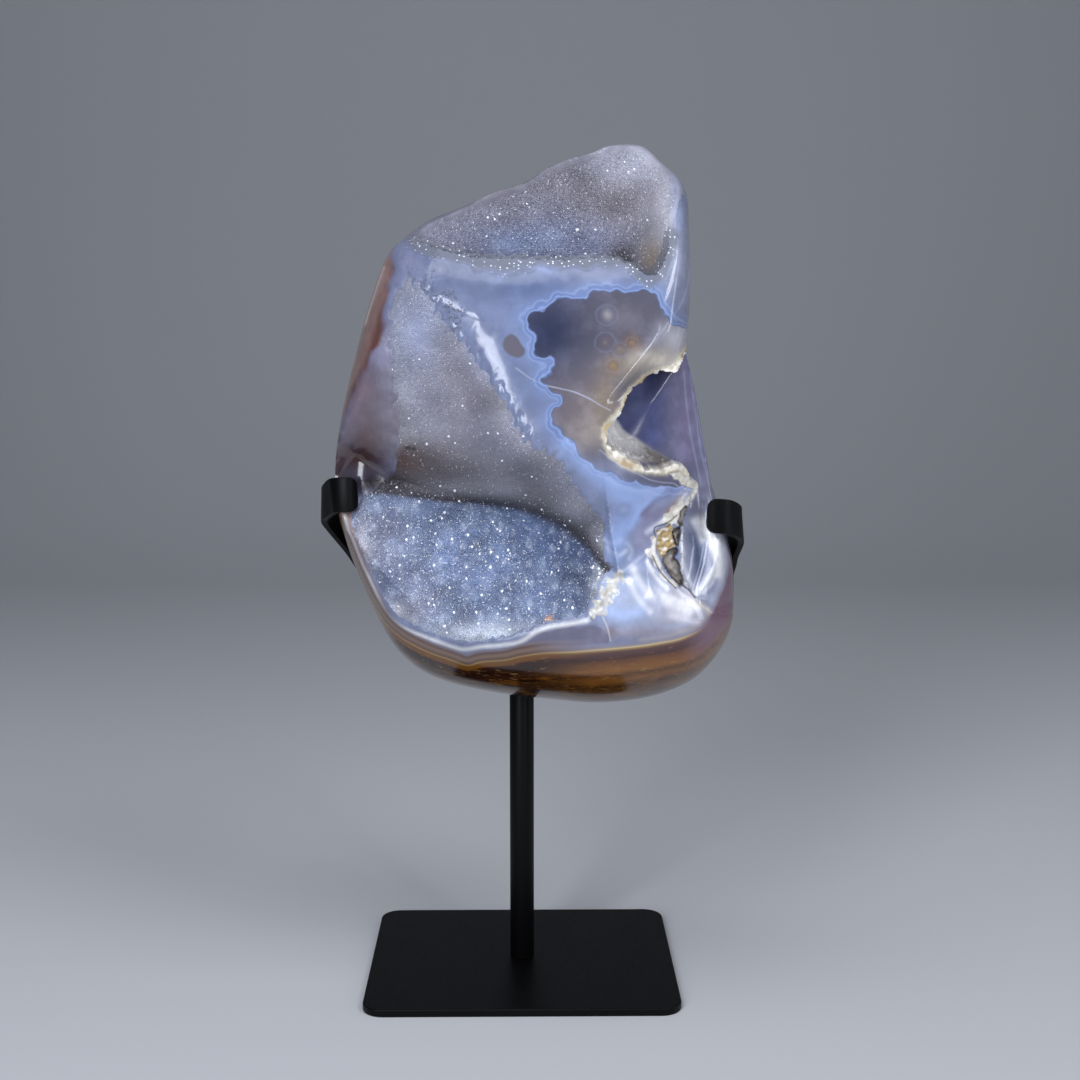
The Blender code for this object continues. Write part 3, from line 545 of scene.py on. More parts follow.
def strokeShare(x, z, reach, points):
    line = evenSteps(curveThrough(points, 4, closed=False), 1, closed=False)
    return np.exp(-((lineDistance(x, z, line) / reach) ** 2))


drawnLines = [evenSteps(curveThrough(points, 6, closed=False), 0.5, closed=False) for *_, points in thinLines]


def rindWidth(x, z):
    # how far the broken cream rind reaches into the side hollow
    swellings = [
        (36, 209, 5.5, 5, 2.6), (55, 203.5, 5, 3, 2.4),
        (54, 242, 5, 4, 1.6), (31, 224, 4, 6, 1),
    ]
    grown = sum(height * spot(x, z, *place) for *place, height in swellings)
    return 0.7 + grown + 0.5 * waves(x, z, 2, seed=54)


def stoneFront(x, z):
    face = faceDepth(x, z)
    for _, drop, ragged, points in brokenPatches:
        inside = depthInside(x, z, np.array(points)) + ragged * waves(x, z, 1.6, seed=51)
        face = face - drop * smoothStep(-0.1, 0.5, inside) * (1 + 0.6 * waves(x, z, 1.1, seed=52))
    inSide = depthInside(x, z, sideLoop)
    inNiche = depthInside(x, z, nicheLoop)
    inHole = np.max([depthInside(x, z, loop) for loop in holeLoops], axis=0)
    width = np.where(z > 190, rindWidth(x, z), 0.4)
    rind = face - 0.35 - 0.5 * inSide - 0.25 * waves(x, z, 1.4, seed=55)
    depth = np.where(inSide > 0, np.where(inSide < width, rind, sideDepth(x, z)), face)
    depth = np.minimum(depth, face)
    depth = np.where(inNiche > 0, nicheSkin(x, z, depth), depth)
    depth = np.where(inHole > 0, depth - 2.6 - 0.5 * waves(x, z, 1.6, seed=53), depth)
    return depth, inSide, inNiche, inHole, width


def borderReach(z, fade):
    # how broad a crust's border is: on the worn slope the crystals come up little by little
    return 1 + fade * smoothStep(196, 212, z)


def sunkUnder(x, z, loop, fade):
    reach = borderReach(z, fade)
    return smoothStep(0.6, 3.2 * reach, depthInside(x, z, loop) + 0.9 * reach * waves(x, z, 2.2, seed=61))


def reachingUp(loop):
    # on the slope the crystals run out 4 mm beyond the drawn outline
    along = np.roll(loop, -1, 0) - np.roll(loop, 1, 0)
    aside = np.stack([-along[:, 1], along[:, 0]], 1) / np.linalg.norm(along, axis=1)[:, None]
    share = smoothStep(196, 212, loop[:, 1]) * smoothStep(276, 262, loop[:, 1])
    return loop + aside * (4 * share)[:, None]


frontDruzyLoop = reachingUp(curveThrough(frontDruzy, 5, closed=True))
nicheDruzyLoop = curveThrough(nicheDruzy, 5, closed=True)
sideDruzyLoop = curveThrough(sideDruzy, 5, closed=True)


def stoneMesh(settings, material):
    loop = evenSteps(rim, settings["rimStep"], closed=True)
    shares = [np.array(core) + s * (loop - np.array(core)) for s in settings["rimShares"]]
    low, high = rim.min(0), rim.max(0)
    inner = lattice(low, high, settings["grid"], seed=71)
    inner = inner[rimShare(inner[:, 0], inner[:, 1]) < 0.9]
    fine = lattice(low, high, settings["edgeGrid"], seed=72)
    fine = fine[rimShare(fine[:, 0], fine[:, 1]) < 0.955]
    edges = [(sideLoop, 3.2), (nicheLoop, 1.5)] + [(loop, 4) for loop in holeLoops]
    edges += [(np.array(points), 2) for *_, points in brokenPatches]
    nearness = []
    for points in (fine, inner):
        found = [lineDistance(*points.T, edge, closed=True) / reach for edge, reach in edges]
        nearness.append(np.min(found, axis=0))
    inner = np.vstack([inner[nearness[1] > 1], fine[nearness[0] < 1]])
    # a row of points on each thin line and one to either side keep it unbroken
    rows = []
    for (_, reach, _, _), line in zip(thinLines, drawnLines):
        away = lineDistance(inner[:, 0], inner[:, 1], line)
        inner = inner[away > 1.25 * reach]
        along = np.gradient(line, axis=0)
        aside = np.stack([along[:, 1], -along[:, 0]], 1) / np.linalg.norm(along, axis=1)[:, None]
        rows += [line, line + reach * aside, line - reach * aside]
    rows = np.vstack(rows)
    inner = np.vstack([inner, rows[rimShare(rows[:, 0], rows[:, 1]) < 0.99]])
    ringPoints = np.vstack(shares)
    ringPoints = ringPoints[rimShare(ringPoints[:, 0], ringPoints[:, 1]) > 0.905]
    points, faces = triangulate(loop, np.vstack([ringPoints, inner]))
    x, z = points[:, 0], points[:, 1]
    depth, *marks = stoneFront(x, z)
    for edge, fade in ((frontDruzyLoop, 1.1), (nicheDruzyLoop, 0), (sideDruzyLoop, 0)):
        depth = depth - settings["sunk"] * sunkUnder(x, z, edge, fade)
    border = len(loop)
    depth[:border] = rimWander(x[:border], z[:border])
    backRings = [np.array(core) + s * (loop - np.array(core)) for s in (0.997, 0.988, 0.972, 0.948, 0.918)]
    backInner = lattice(low, high, settings["backGrid"], seed=73)
    backInner = backInner[rimShare(backInner[:, 0], backInner[:, 1]) < 0.9]
    backPoints, backFaces = triangulate(loop, np.vstack(backRings + [backInner]))
    bx, bz = backPoints[:, 0], backPoints[:, 1]
    back = backDepth(bx, bz)
    back[:border] = depth[:border]
    renumber = np.concatenate([np.arange(border), np.arange(border, len(backPoints)) + len(points) - border])
    vertices = np.vstack([worldOf(x, z, depth), worldOf(bx, bz, back)[border:]])
    allFaces = np.vstack([faces, renumber[backFaces][:, ::-1]])
    stone = meshObject("agateStone", vertices, allFaces, material)
    faceOutwards(stone)
    flatX = np.concatenate([x, bx[border:]])
    flatZ = np.concatenate([z, bz[border:]])
    isBack = np.concatenate([np.zeros(len(x)), np.ones(len(bx) - border)])
    # the back lies far from every hollow
    farAway = np.full(len(bx) - border, -50)
    marks = [np.concatenate([mark, farAway]) for mark in marks]
    return stone, flatX, flatZ, isBack, marks


agateMaterial, agateNode, agateShader = newMaterial("Polished agate")
stone, sx, sz, isBack, stoneMarks = stoneMesh(stoneSettings, agateMaterial)
print("stone", len(stone.data.polygons), "triangles")

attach(stone, "root")
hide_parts("agate_stone")

print("crystal crusts")
crustSettings = {
    "frontDruzy": {
        "loop": frontDruzyLoop, "cell": 0.72, "surface": faceDepth,
        "seed": 11, "height": 0.14, "dip": 0.6, "fade": 1.1,
    },
    "nicheDruzy": {
        "loop": nicheDruzyLoop, "cell": 0.72, "surface": lambda x, z: nicheSkin(x, z, faceDepth(x, z)),
        "seed": 21, "height": 0.16, "dip": 0.3, "fade": 0,
    },
    "sideDruzy": {
        "loop": sideDruzyLoop, "cell": 0.6, "surface": sideDepth,
        "seed": 31, "height": 0.22, "dip": 0.75, "fade": 0,
    },
}


def crystalCrust(name, settings, material):
    cell, surface = settings["cell"], settings["surface"]
    dice = np.random.RandomState(settings["seed"])
    loop = evenSteps(settings["loop"], cell, closed=True)
    tips = lattice(loop.min(0), loop.max(0), cell, settings["seed"], jitter=0.3)
    tips = tips[depthInside(tips[:, 0], tips[:, 1], loop) > 0.5 * cell]
    points, faces = triangulate(loop, tips)
    border, count = len(loop), len(points)
    middles = points[faces].mean(1)
    # each edge between two triangles gives one face to the crystal at either end
    ends = np.concatenate([faces[:, [0, 1]], faces[:, [1, 2]], faces[:, [2, 0]]])
    owner = np.tile(np.arange(len(faces)), 3) + count
    key = ends.min(1) * count + ends.max(1)
    order = np.argsort(key, kind="stable")
    same = key[order][1:] == key[order][:-1]
    first, second = order[:-1][same], order[1:][same]
    a, b = ends[first, 0], ends[first, 1]
    g, h = owner[first], owner[second]
    single = np.setdiff1d(np.arange(len(key)), np.concatenate([first, second]))
    top = np.vstack([
        np.stack([a, h, g], 1), np.stack([b, g, h], 1),
        np.stack([ends[single, 0], ends[single, 1], owner[single]], 1),
    ])
    inside = depthInside(*points.T, loop)
    middleInside = depthInside(*middles.T, loop)
    height = settings["height"]
    tipRise = height * (0.15 + 1.25 * dice.uniform(0, 1, count) ** 2.2)
    lean = dice.uniform(-0.22, 0.22, (count, 2)) * cell
    lean[:border] = 0

    def base(x, z, within):
        reach = borderReach(z, settings["fade"])
        dip = 1 - smoothStep(0, 2.6 * reach, within + 0.9 * reach * waves(x, z, 1.7, seed=62))
        return surface(x, z) - 0.25 - settings["dip"] * dip

    def growth(z, within):
        return smoothStep(0, 1.2 + 3 * (borderReach(z, settings["fade"]) - 1), within)

    tipsAt = points + lean
    tipDepth = base(*tipsAt.T, inside) + tipRise * growth(tipsAt[:, 1], inside)
    grown = 0.2 + 0.8 * growth(middles[:, 1], middleInside)
    low = base(*middles.T, middleInside) - height * grown * dice.uniform(0.35, 0.9, len(middles))
    tipDepth[:border] = base(*points[:border].T, inside[:border]) - 0.1
    coarse = lattice(loop.min(0), loop.max(0), 3, settings["seed"] + 5)
    coarse = coarse[depthInside(coarse[:, 0], coarse[:, 1], loop) > 1.5]
    under, underFaces = triangulate(loop, coarse)
    underDepth = surface(*under.T) - 1.5
    start = count + len(middles)
    vertices = np.vstack([
        worldOf(*tipsAt.T, tipDepth), worldOf(*middles.T, low), worldOf(*under.T, underDepth),
    ])
    k = np.arange(border)
    after = (k + 1) % border
    walls = np.vstack([np.stack([k, start + k, start + after], 1), np.stack([k, start + after, after], 1)])
    made = meshObject(name, vertices, np.vstack([top, underFaces[:, ::-1] + start, walls]), material)
    faceOutwards(made)
    flatPoints = np.vstack([tipsAt, middles, under])
    # a few crystals are painted white: painted glints
    luck = np.concatenate([dice.uniform(0, 1, count), np.full(len(middles) + len(under), 0.5)])
    return made, flatPoints, luck


druzyMaterial, druzyNode, druzyShader = newMaterial("Quartz druzy")
crusts = {}
crustNodes = {"frontDruzy": "front_druzy", "nicheDruzy": "niche_druzy", "sideDruzy": "side_druzy"}
for name, nodeName in crustNodes.items():
    crusts[name] = crystalCrust(name, crustSettings[name], druzyMaterial)
    made = crusts[name][0]
    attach(made, "root")
    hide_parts(nodeName)
    print(name, len(made.data.polygons), "triangles")


print("stone colours")
nicheStains = [
    (0, 284, 26, 8, "6A7694", 0.9),
    (20, 286, 14, 10, "6A738F", 0.8),
    (-24, 284, 10, 6, "6B6B7D", 0.7),
    (36, 300, 16, 12, "7D777E", 0.8),
    (22, 300, 4, 12, "5F5A62", 0.6),
    (40, 314, 14, 8, "A6A8B6", 0.8),
    (50, 290, 5, 14, "BAB8C0", 0.8),
    (47, 279, 4, 6, "8C7C68", 0.8),
    # painted shade in the niche's corner at the right end of the lip
    (37, 279.5, 5, 3.5, "2E2828", 0.95),
    (56, 296, 3, 14, "A2A8C0", 0.8),
    # painted shade along the crease behind the lip
    (0, 279.5, 30, 1.8, "5A6078", 0.6),
]
patchEdge = [
    (2, 256.7), (3.4, 258.7), (5.5, 259.8), (7.6, 260.8), (9.7, 261.5), (11.1, 262.5), (12.2, 263.6),
    (14.6, 263.9), (17, 263.6), (19.1, 263.6), (20.9, 264.3), (22.3, 265.3), (24.4, 266), (26.8, 266.3),
    (29.6, 266.7), (32.4, 266.7), (34.5, 266), (36.9, 265.6), (39, 265.6), (40.4, 266.3), (42.5, 266.7),
    (45, 266.3), (46.8, 265), (47.5, 262.5), (48.7, 260.5), (50.2, 258.4), (51.7, 256.3), (55, 254.1),
    (62, 252), (90, 240), (90, 197), (63.5, 196.6), (57.9, 198.1), (53.3, 197.8), (49.6, 198),
    (45.9, 198.9), (42.3, 199.8), (38.7, 200.6), (35.1, 202.1), (32, 203.5), (29.1, 204.6), (26.3, 205.7),
    (23.9, 207.4), (21.4, 209.2), (19.7, 211.3), (19, 213.4), (17.6, 214.4), (15.9, 215.8), (14.5, 217.2),
    (13.8, 219.3), (12, 220.3), (11, 222), (11, 224.4), (12, 226.5), (13.8, 227.5), (14.8, 229.2),
    (14.1, 231), (12.4, 232), (10.3, 232.3), (8.2, 234), (7.2, 236.1), (8.6, 237.5), (10.7, 238.2),
    (11, 240.2), (12.1, 241.6), (12.1, 243.6), (10.3, 244.3), (8.3, 243.6), (6.2, 244.3), (4.8, 246),
    (4.8, 248.1), (5.8, 249.5), (6.2, 251.5), (4.8, 252.9), (2.7, 254.6),
]
blueBand = [
    (50.7, 196.6), (47.7, 193.9), (44.5, 192.3), (42.7, 189.2), (41.6, 186.5), (39.1, 184.4), (37.7, 180.9),
    (36.7, 176.7), (35.3, 172.1), (31.9, 169.4), (29.1, 172.7), (28.9, 177.8), (29.8, 182.6), (31.4, 187.3),
    (31.7, 191.6), (29.5, 195.8), (26, 199.4), (22.2, 202.9), (19, 206.4), (16.6, 210.2), (14.5, 213.7),
    (15.9, 215.8), (19, 213.4), (21.4, 209.2), (26.3, 205.7), (32, 203.5), (38.7, 200.6), (45.9, 198.9),
]
ovalSpot = [
    (-6.3, 248.1), (-5.6, 250.5), (-3.5, 251.9), (-1.4, 250.8), (-0.1, 248.4), (1.3, 246.4), (0.3, 244.3),
    (-2.1, 244), (-4.9, 245.4),
]
goldLine = [
    (-66, 176), (-60.5, 163), (-54.5, 152), (-49.6, 146.3), (-44.1, 142.6), (-38.5, 140.1), (-32.6, 137.8),
    (-25.7, 135.7), (-21.1, 133.9), (-18.4, 133.7), (-14.2, 135.4), (-5.7, 136.4), (-0.6, 137.9),
    (7.7, 139.4), (17.1, 139.9), (27.8, 140.8), (42.1, 141.9), (49.3, 142.7), (56.7, 143.6), (64.3, 146),
    (68.9, 149.4), (74, 156.5), (79, 166),
]
lilacBand = [
    (-1, 144), (2.2, 145), (6, 147.4), (11, 148.4), (15, 149.8), (20, 149.6), (25, 150.3), (29.4, 148.6),
    (31, 146), (30, 143.4), (20, 142.4), (8, 141.8), (-1, 140.6),
]
redStrip = [
    (-46.5, 279), (-46.2, 274.3), (-47.1, 268.9), (-48.1, 263.6), (-49.5, 258.3), (-48.6, 253.1),
    (-50.9, 248.8), (-53.2, 245.3), (-55.6, 240.2), (-58.8, 235.1), (-61.4, 230.7), (-66, 222), (-80, 225),
    (-80, 280), (-52, 283),
]

def mixed(base, other, share):
    return base + (other - base) * share[:, None]


def blend(base, code, share):
    return mixed(base, linear(code), np.clip(share, 0, 1))


def layered(base, layers):
    for code, share in layers:
        base = blend(base, code, share)
    return base


def flat(code, count):
    return np.tile(linear(code), (count, 1))


agateStains = [  # centre x and z, radii, colour, strength
    (-25, 274, 18, 7, "646E8C", 0.9),
    (-40, 278, 6, 5, "7C7E9A", 0.7),
    (4, 268, 14, 6, "58678C", 0.8),
    (10, 235, 14, 12, "7484A6", 0.6),
    (0, 252, 8, 14, "7686AA", 0.6),
    (56, 275, 6, 18, "9AA0B4", 0.9),
    (58, 262, 4, 14, "8486A2", 0.6),
    (-56, 232, 10, 16, "6C5A62", 0.9),
    (-56, 214, 11, 14, "5E4C50", 0.95),
    (-44, 248, 7, 18, "85829A", 0.8),
    (-44, 222, 8, 16, "78727C", 0.9),
    (-60, 206, 12, 7, "30180E", 0.95),
    (-54, 197, 14, 5, "1A0A0A", 0.95),
    (-68, 195, 4, 30, "4A3430", 0.7),
    (52, 190, 9, 7, "9092A8", 0.8),
    (46, 187.5, 4, 3, "7A7A92", 0.8),
    (42, 180, 5, 4, "9490A6", 0.7),
    # the bulge's pale milky stone, painted whiter still as painted highlights
    (40, 160, 14, 9, "BEC9E4", 0.95),
    (58, 156, 10, 8, "E2DCE2", 0.9),
    (44, 147.5, 20, 2.4, "A8A2B0", 0.7),
    (31.4, 147.5, 1.8, 1.8, "7E6660", 0.8),
    (68, 180, 9, 16, "A8B0C8", 0.8),
    (78, 162, 4, 20, "8A7488", 0.9),
    (34, 178, 5, 8, "8B9CC0", 0.7),
]
innerStains = [
    (12, 252, 15, 14, "29334F", 0.95),
    (36, 258, 16, 10, "67636C", 0.9),
    (22, 240, 10, 8, "4B5168", 0.7),
    (30, 240, 12, 10, "736D73", 0.6),
    (20, 228, 12, 12, "797177", 0.9),
    (24, 218, 10, 8, "8E8581", 0.9),
    (32, 206, 12, 4, "8488A2", 0.9),
    (55, 250, 7, 6, "D2D0DA", 0.95),
    (48, 243, 9, 4, "D8CEBE", 0.9),
    (38, 240, 6, 5, "A89C84", 0.5),
    (29, 229, 5, 10, "A09078", 0.6),
    (38.5, 248.8, 2.6, 2.6, "8E6C38", 0.75),
    (31.9, 240.9, 2.4, 2.4, "967438", 0.75),
    (34.3, 246.4, 2, 2, "806840", 0.5),
    (29.9, 258.4, 1.6, 1.8, "A8A4A6", 0.6),
    (29.1, 249.1, 2.6, 2.6, "5A4A46", 0.6),
]


def stained(x, z, base, stains):
    return layered(flat(base, len(x)), [(code, share * spot(x, z, *place)) for *place, code, share in stains])


def polishColour(x, z):
    inRed = depthInside(x, z, curveThrough(redStrip, 4, closed=True))
    edge = smoothStep(0.88, 0.95, rimShare(x, z))
    return layered(stained(x, z, "777F9C", agateStains), [
        ("64403A", smoothStep(-1.2, 1.2, inRed + 0.8 * waves(x, z, 5, seed=85))),
        ("A88480", 0.6 * spot(x, z, -50, 271, 6, 9) * (inRed > 0)),
        ("8A6850", 0.85 * edge * smoothStep(200, 192, z) * smoothStep(-10, -30, x)),
        ("9A7E78", edge * smoothStep(0, 2, inRed) * 0.6),
    ])


def lipShare(x, z):
    # the crystals run on a little way over the niche's lip
    away = lineDistance(x, z, np.array(nicheLip[1:15])) + 1.1 * waves(x, z, 6, seed=86)
    return smoothStep(5.6 + 5 * np.exp(-(((x + 7) / 8) ** 2)), 0.6, away)


def stoneColours(x, z, isBack, marks):
    inSide, inNiche, inHole, width = marks
    count = len(x)
    outer = polishColour(x, z)
    inner = stained(x, z, "5C5C70", innerStains)
    outer[inNiche > 0] = stained(x, z, "75727E", nicheStains)[inNiche > 0]
    # the side hollow's wall, its broken cream rind and its ledge of crystals
    hollow = inSide > 0
    deep = hollow & (inSide > width)
    wall = layered(flat("6E6D86", count), [
        ("50567E", smoothStep(57, 47, x) * smoothStep(206, 214, z)),
        # painted light: the scoop's upper left, which lies in shadow, is lifted to a paler blue
        ("7C84B4", 0.9 * spot(x, z, 41, 231, 5, 9)),
        ("7C7290", 0.7 * spot(x, z, 60, 222, 3.5, 18)),
        ("88899F", 0.8 * smoothStep(206, 190, z)),
        ("A8AEC4", 0.85 * smoothStep(190, 180, z)),
        # painted shade in the right mass's groove, then a painted highlight on its ridge
        ("6C7694", 0.8 * spot(x, z, 64.5, 173, 3.4, 12)),
        ("F4F5F9", 0.7 * spot(x, z, 72, 176, 3, 11)),
        ("8A7690", 0.9 * smoothStep(75.5, 79, x)),
    ])
    turned = smoothStep(0.1, 0.9, 0.5 + 0.8 * waves(x, z, 5, seed=81)) * smoothStep(212, 222, z)
    cream = layered(flat("ECE7DA", count), [
        ("C8AC70", turned),
        ("B89A64", 0.85 * spot(x, z, 35.5, 206.5, 6, 2.2) + 0.6 * spot(x, z, 55, 202.5, 4, 1.6)),
        ("8E7850", 0.5 * smoothStep(0.2, 0.9, waves(x, z, 1.9, seed=58))),
    ])
    # the ledge is near white on the left, a painted reflection, and darker to the right
    ledge = blend(flat("E2E0DE", count), "6E6864", smoothStep(38, 47, x))
    onLedge = smoothStep(-1, 1, depthInside(x, z, sideDruzyLoop))
    wall = mixed(wall, ledge, onLedge)
    band = depthInside(x, z, curveThrough(lilacBand, 3, closed=True)) + 0.3 * waves(x, z, 4, seed=87)
    outer = blend(outer, "6C687E", 0.85 * smoothStep(-0.4, 0.6, band))
    nearCrust = smoothStep(-5, 0, depthInside(x, z, frontDruzyLoop))
    upperLeft = smoothStep(200, 212, z) * smoothStep(-30, -38, x)
    dull = (0.1 + 0.25 * smoothStep(205, 195, z) + 0.55 * upperLeft) * nearCrust
    outside = (inSide <= 0) * (x < 60) * (z > 186)
    nearBreak = np.exp(-((np.minimum(np.abs(inSide), 50) / 0.9) ** 2)) * outside
    dull = np.maximum(dull, 0.6 * nearBreak)
    outer = blend(outer, "DAD4C6", 0.85 * nearBreak)
    inner = blend(inner, "D2C8AC", 0.85 * nearBreak)
    for target in (outer, inner):
        target[deep] = wall[deep]
        target[hollow & ~deep] = cream[hollow & ~deep]
    dull[hollow & ~deep] = 1
    dull[deep] = onLedge[deep]
    # the broken places beside the bulge, and the thin lines
    for code, _, ragged, points in brokenPatches:
        inside = depthInside(x, z, np.array(points)) + ragged * waves(x, z, 1.6, seed=51)
        share = smoothStep(-0.3, 0.3, inside)
        raw = layered(flat(code, count), [
            ("F4F1EA", 0.7 * smoothStep(0.1, 0.8, waves(x, z, 1.3, seed=56))),
            ("8C7450", 0.55 * smoothStep(0.2, 0.9, waves(x, z, 1.7, seed=57))),
        ])
        outer, inner = mixed(outer, raw, share), mixed(inner, raw, share)
        dull = np.maximum(dull, 0.9 * share)
    holes = smoothStep(-0.2, 0.2, inHole)
    pit = blend(flat("A09890", count), "6A605A", smoothStep(0.2, 1, waves(x, z, 2, seed=84)))
    # painted shade: a near-black line round the edge of each hole
    holeEdgeShade = 0.85 * np.exp(-((inHole / 0.45) ** 2))
    outer, inner = (blend(mixed(c, pit, holes), "1E1A1A", holeEdgeShade) for c in (outer, inner))
    dull = np.maximum(dull, 0.9 * holes)
    for code, reach, strength, points in strokes:
        share = strength * strokeShare(x, z, reach, points) * (1 - holes) * (1 - 0.5 * dull)
        outer = blend(outer, code, share)
        inner = blend(inner, code, share * deep)
    for (code, reach, strength, _), line in zip(thinLines, drawnLines):
        share = strength * np.clip(1 - lineDistance(x, z, line) / reach, 0, 1)
        outer, inner = blend(outer, code, share), blend(inner, code, share)
    # natural skin on the back
    skin = layered(flat("6A4C40", count), [
        ("8C8084", smoothStep(-0.4, 0.9, waves(x, z, 26, seed=82))),
        ("4A3028", smoothStep(0.1, 1, waves(x, z, 9, seed=83))),
    ])
    skinned = isBack * smoothStep(0.999, 0.95, rimShare(x, z))
    outer, inner = mixed(outer, skin, skinned), mixed(inner, skin, skinned)
    dull = np.maximum(dull, 0.55 * skinned)
    dull[inNiche > 0] = 0.8
    return outer, inner, dull


outerColour, innerColour, dull = stoneColours(sx, sz, isBack, stoneMarks)
colourAttribute(stone, "outerColour", outerColour)
colourAttribute(stone, "innerColour", innerColour)
numberAttribute(stone, "dull", dull)
hidden = stoneMarks[0] > 0
patchMm, ovalMm, bandMm = (
    depthInside(sx, sz, curveThrough(points, 3, closed=True)) for points in (patchEdge, ovalSpot, blueBand)
)
patchMm = patchMm + 2.6 * (0.22 - cells(sx, sz, 4.4, seed=88)) * smoothStep(8, 3, np.abs(patchMm))
numberAttribute(stone, "patchMm", np.where(hidden, 9, patchMm))
numberAttribute(stone, "ovalMm", np.where(hidden, -9, ovalMm))
numberAttribute(stone, "bandMm", np.where(hidden, -9, bandMm))
gold = curveThrough(goldLine, 4, closed=False)
below = np.where(sz < np.interp(sx, gold[:, 0], gold[:, 1]), 1, -1)
goldMm = np.maximum(below * lineDistance(sx, sz, gold), -9)
# behind the rim the rind's bands follow each other up the stone's edge
goldMm = goldMm + (18 - goldMm) * isBack * smoothStep(0.999, 0.94, rimShare(sx, sz))
numberAttribute(stone, "goldMm", goldMm)
numberAttribute(stone, "skinShare", isBack * smoothStep(0.995, 0.86, rimShare(sx, sz)))
orbs = [
    (29.9, 258.4, 4.6), (29.1, 249.1, 4.4), (34.3, 246.4, 3.2), (31.9, 240.9, 3), (38.5, 248.8, 2.6),
    (35.9, 190.5, 4), (-28.4, 274, 4.6), (-15.1, 274.7, 3.6),
]
orbShare = np.full(len(sx), 9)
for centreX, centreZ, radius in orbs:
    orbShare = np.minimum(orbShare, np.hypot(sx - centreX, (sz - centreZ) * 1.1) / radius)
numberAttribute(stone, "orbShare", np.where(hidden, 9, orbShare))
pitPlaces = [(-24, 257, 6, 11), (-36, 268, 8, 8), (-30, 281, 2, 4)]
pits = sum(spot(sx, sz, *place) for place in pitPlaces)
for name, share in (("grain", lipShare(sx, sz)), ("pits", pits)):
    numberAttribute(stone, name, (1 - isBack) * np.clip(share, 0, 1))
stone.data.shade_smooth()
creaseDegrees = 50
stone.data.set_sharp_from_angle(angle=math.radians(creaseDegrees))
print("materials")


def fillRamp(colour, stops):
    # gives a colour ramp its (position, hex, alpha) stops; returns its colour and its alpha
    marks = colour.node.color_ramp.elements
    while len(marks) < len(stops):
        marks.new(0.5)
    for mark, (position, code, alpha) in zip(marks, stops):
        mark.position = position
        mark.color = rgba(code, alpha)
    return colour, colour.node.outputs["Alpha"]


# Chalcedony: a hard polish with a deep wet shine, and a little light that wanders inside the stone.
where = agateNode("place")
wander = agateNode("multiplyAdd", agateNode("noise", where, 1000 / 3, 3), 1.2, -0.6)
patch = agateNode("add", agateNode("number", attribute_name="patchMm"), wander)
insidePatch = agateNode("smooth", patch, -0.15, 0.3)
fringe, fringeShare = fillRamp(agateNode("ramp", agateNode("multiplyAdd", patch, 1 / 8, 1)), [
    (0, "8490B0", 0), (0.4, "8494BC", 0.2), (0.62, "7E94C2", 0.4), (0.72, "9AAEDA", 0.55),
    (0.78, "748ABA", 0.55), (0.88, "748CC0", 0.6), (0.93, "9AB0E0", 0.7), (0.965, "6C80AE", 0.7),
    (1, "566488", 0.75),
])
outerLook = agateNode("colour", attribute_name="outerColour")
innerLook = agateNode("colour", attribute_name="innerColour")
clouds = agateNode("noise", where, 1000 / 9, 4, 0.6)
outerLook = agateNode("tint", 1, outerLook, agateNode("smooth", clouds, 0.35, 0.75, 0.9, 1.25))
outerLook = agateNode("mix", fringeShare, outerLook, fringe)
innerLook = agateNode("tint", 1, innerLook, agateNode("smooth", clouds, 0.4, 0.7, 0.9, 1.25))
look = agateNode("mix", insidePatch, outerLook, innerLook)
oval = agateNode("multiplyAdd", wander, 0.6, agateNode("number", attribute_name="ovalMm"))
oval = agateNode("smooth", oval, -0.5, 0.4)
look = agateNode("mix", oval, look, rgba("686470"))
band = agateNode("multiplyAdd", wander, 1.2, agateNode("number", attribute_name="bandMm"))
look = agateNode("mix", agateNode("smooth", band, -2, 3.5, 0, 0.55), look, rgba("8CA2D0"))
ring = agateNode("multiplyAdd", agateNode("noise", where, 1000 / 2.6, 2), 0.4, -0.2)
ring = agateNode("add", ring, agateNode("number", attribute_name="orbShare"))
orb, orbAlpha = fillRamp(agateNode("ramp", ring), [
    (0, "B4B0B4", 0.3), (0.25, "8A8894", 0.15), (0.5, "60627A", 0.2), (0.7, "5E6480", 0.16),
    (0.84, "8C96B8", 0.2), (0.96, "6A7290", 0.04), (1, "6A7290", 0),
])
look = agateNode("mix", orbAlpha, look, orb)

# The rind below the gold line: bands of maroon, amber and ochre that follow the stone's skin.
swayNoise = agateNode("noise", agateNode("stretch", where, (0.5, 1, 1.6)), 1000 / 14, 3, 0.55)
sway = agateNode("multiplyAdd", swayNoise, 5, -2.5)
goldDepth = agateNode("number", attribute_name="goldMm")
swayed = agateNode("multiplyAdd", sway, agateNode("smooth", goldDepth, 1.5, 8), goldDepth)
share = agateNode("multiplyAdd", swayed, 1 / 32, 0.25)
rindLeft, shareLeft = fillRamp(agateNode("ramp", share), [
    (0.085, "7A6C70", 0), (0.115, "7A6864", 0.75), (0.14, "5E4A48", 1), (0.18, "80685C", 1),
    (0.225, "5C4A40", 1), (0.25, "9C7A4C", 1), (0.262, "6E4A20", 1),
    (0.31, "6E4416", 1), (0.335, "32170C", 1), (0.42, "220E07", 1), (0.5, "36190C", 1),
    (0.6, "1E0C06", 1), (0.7, "38200E", 1), (0.8, "20100A", 1), (1, "2A1A10", 1),
])
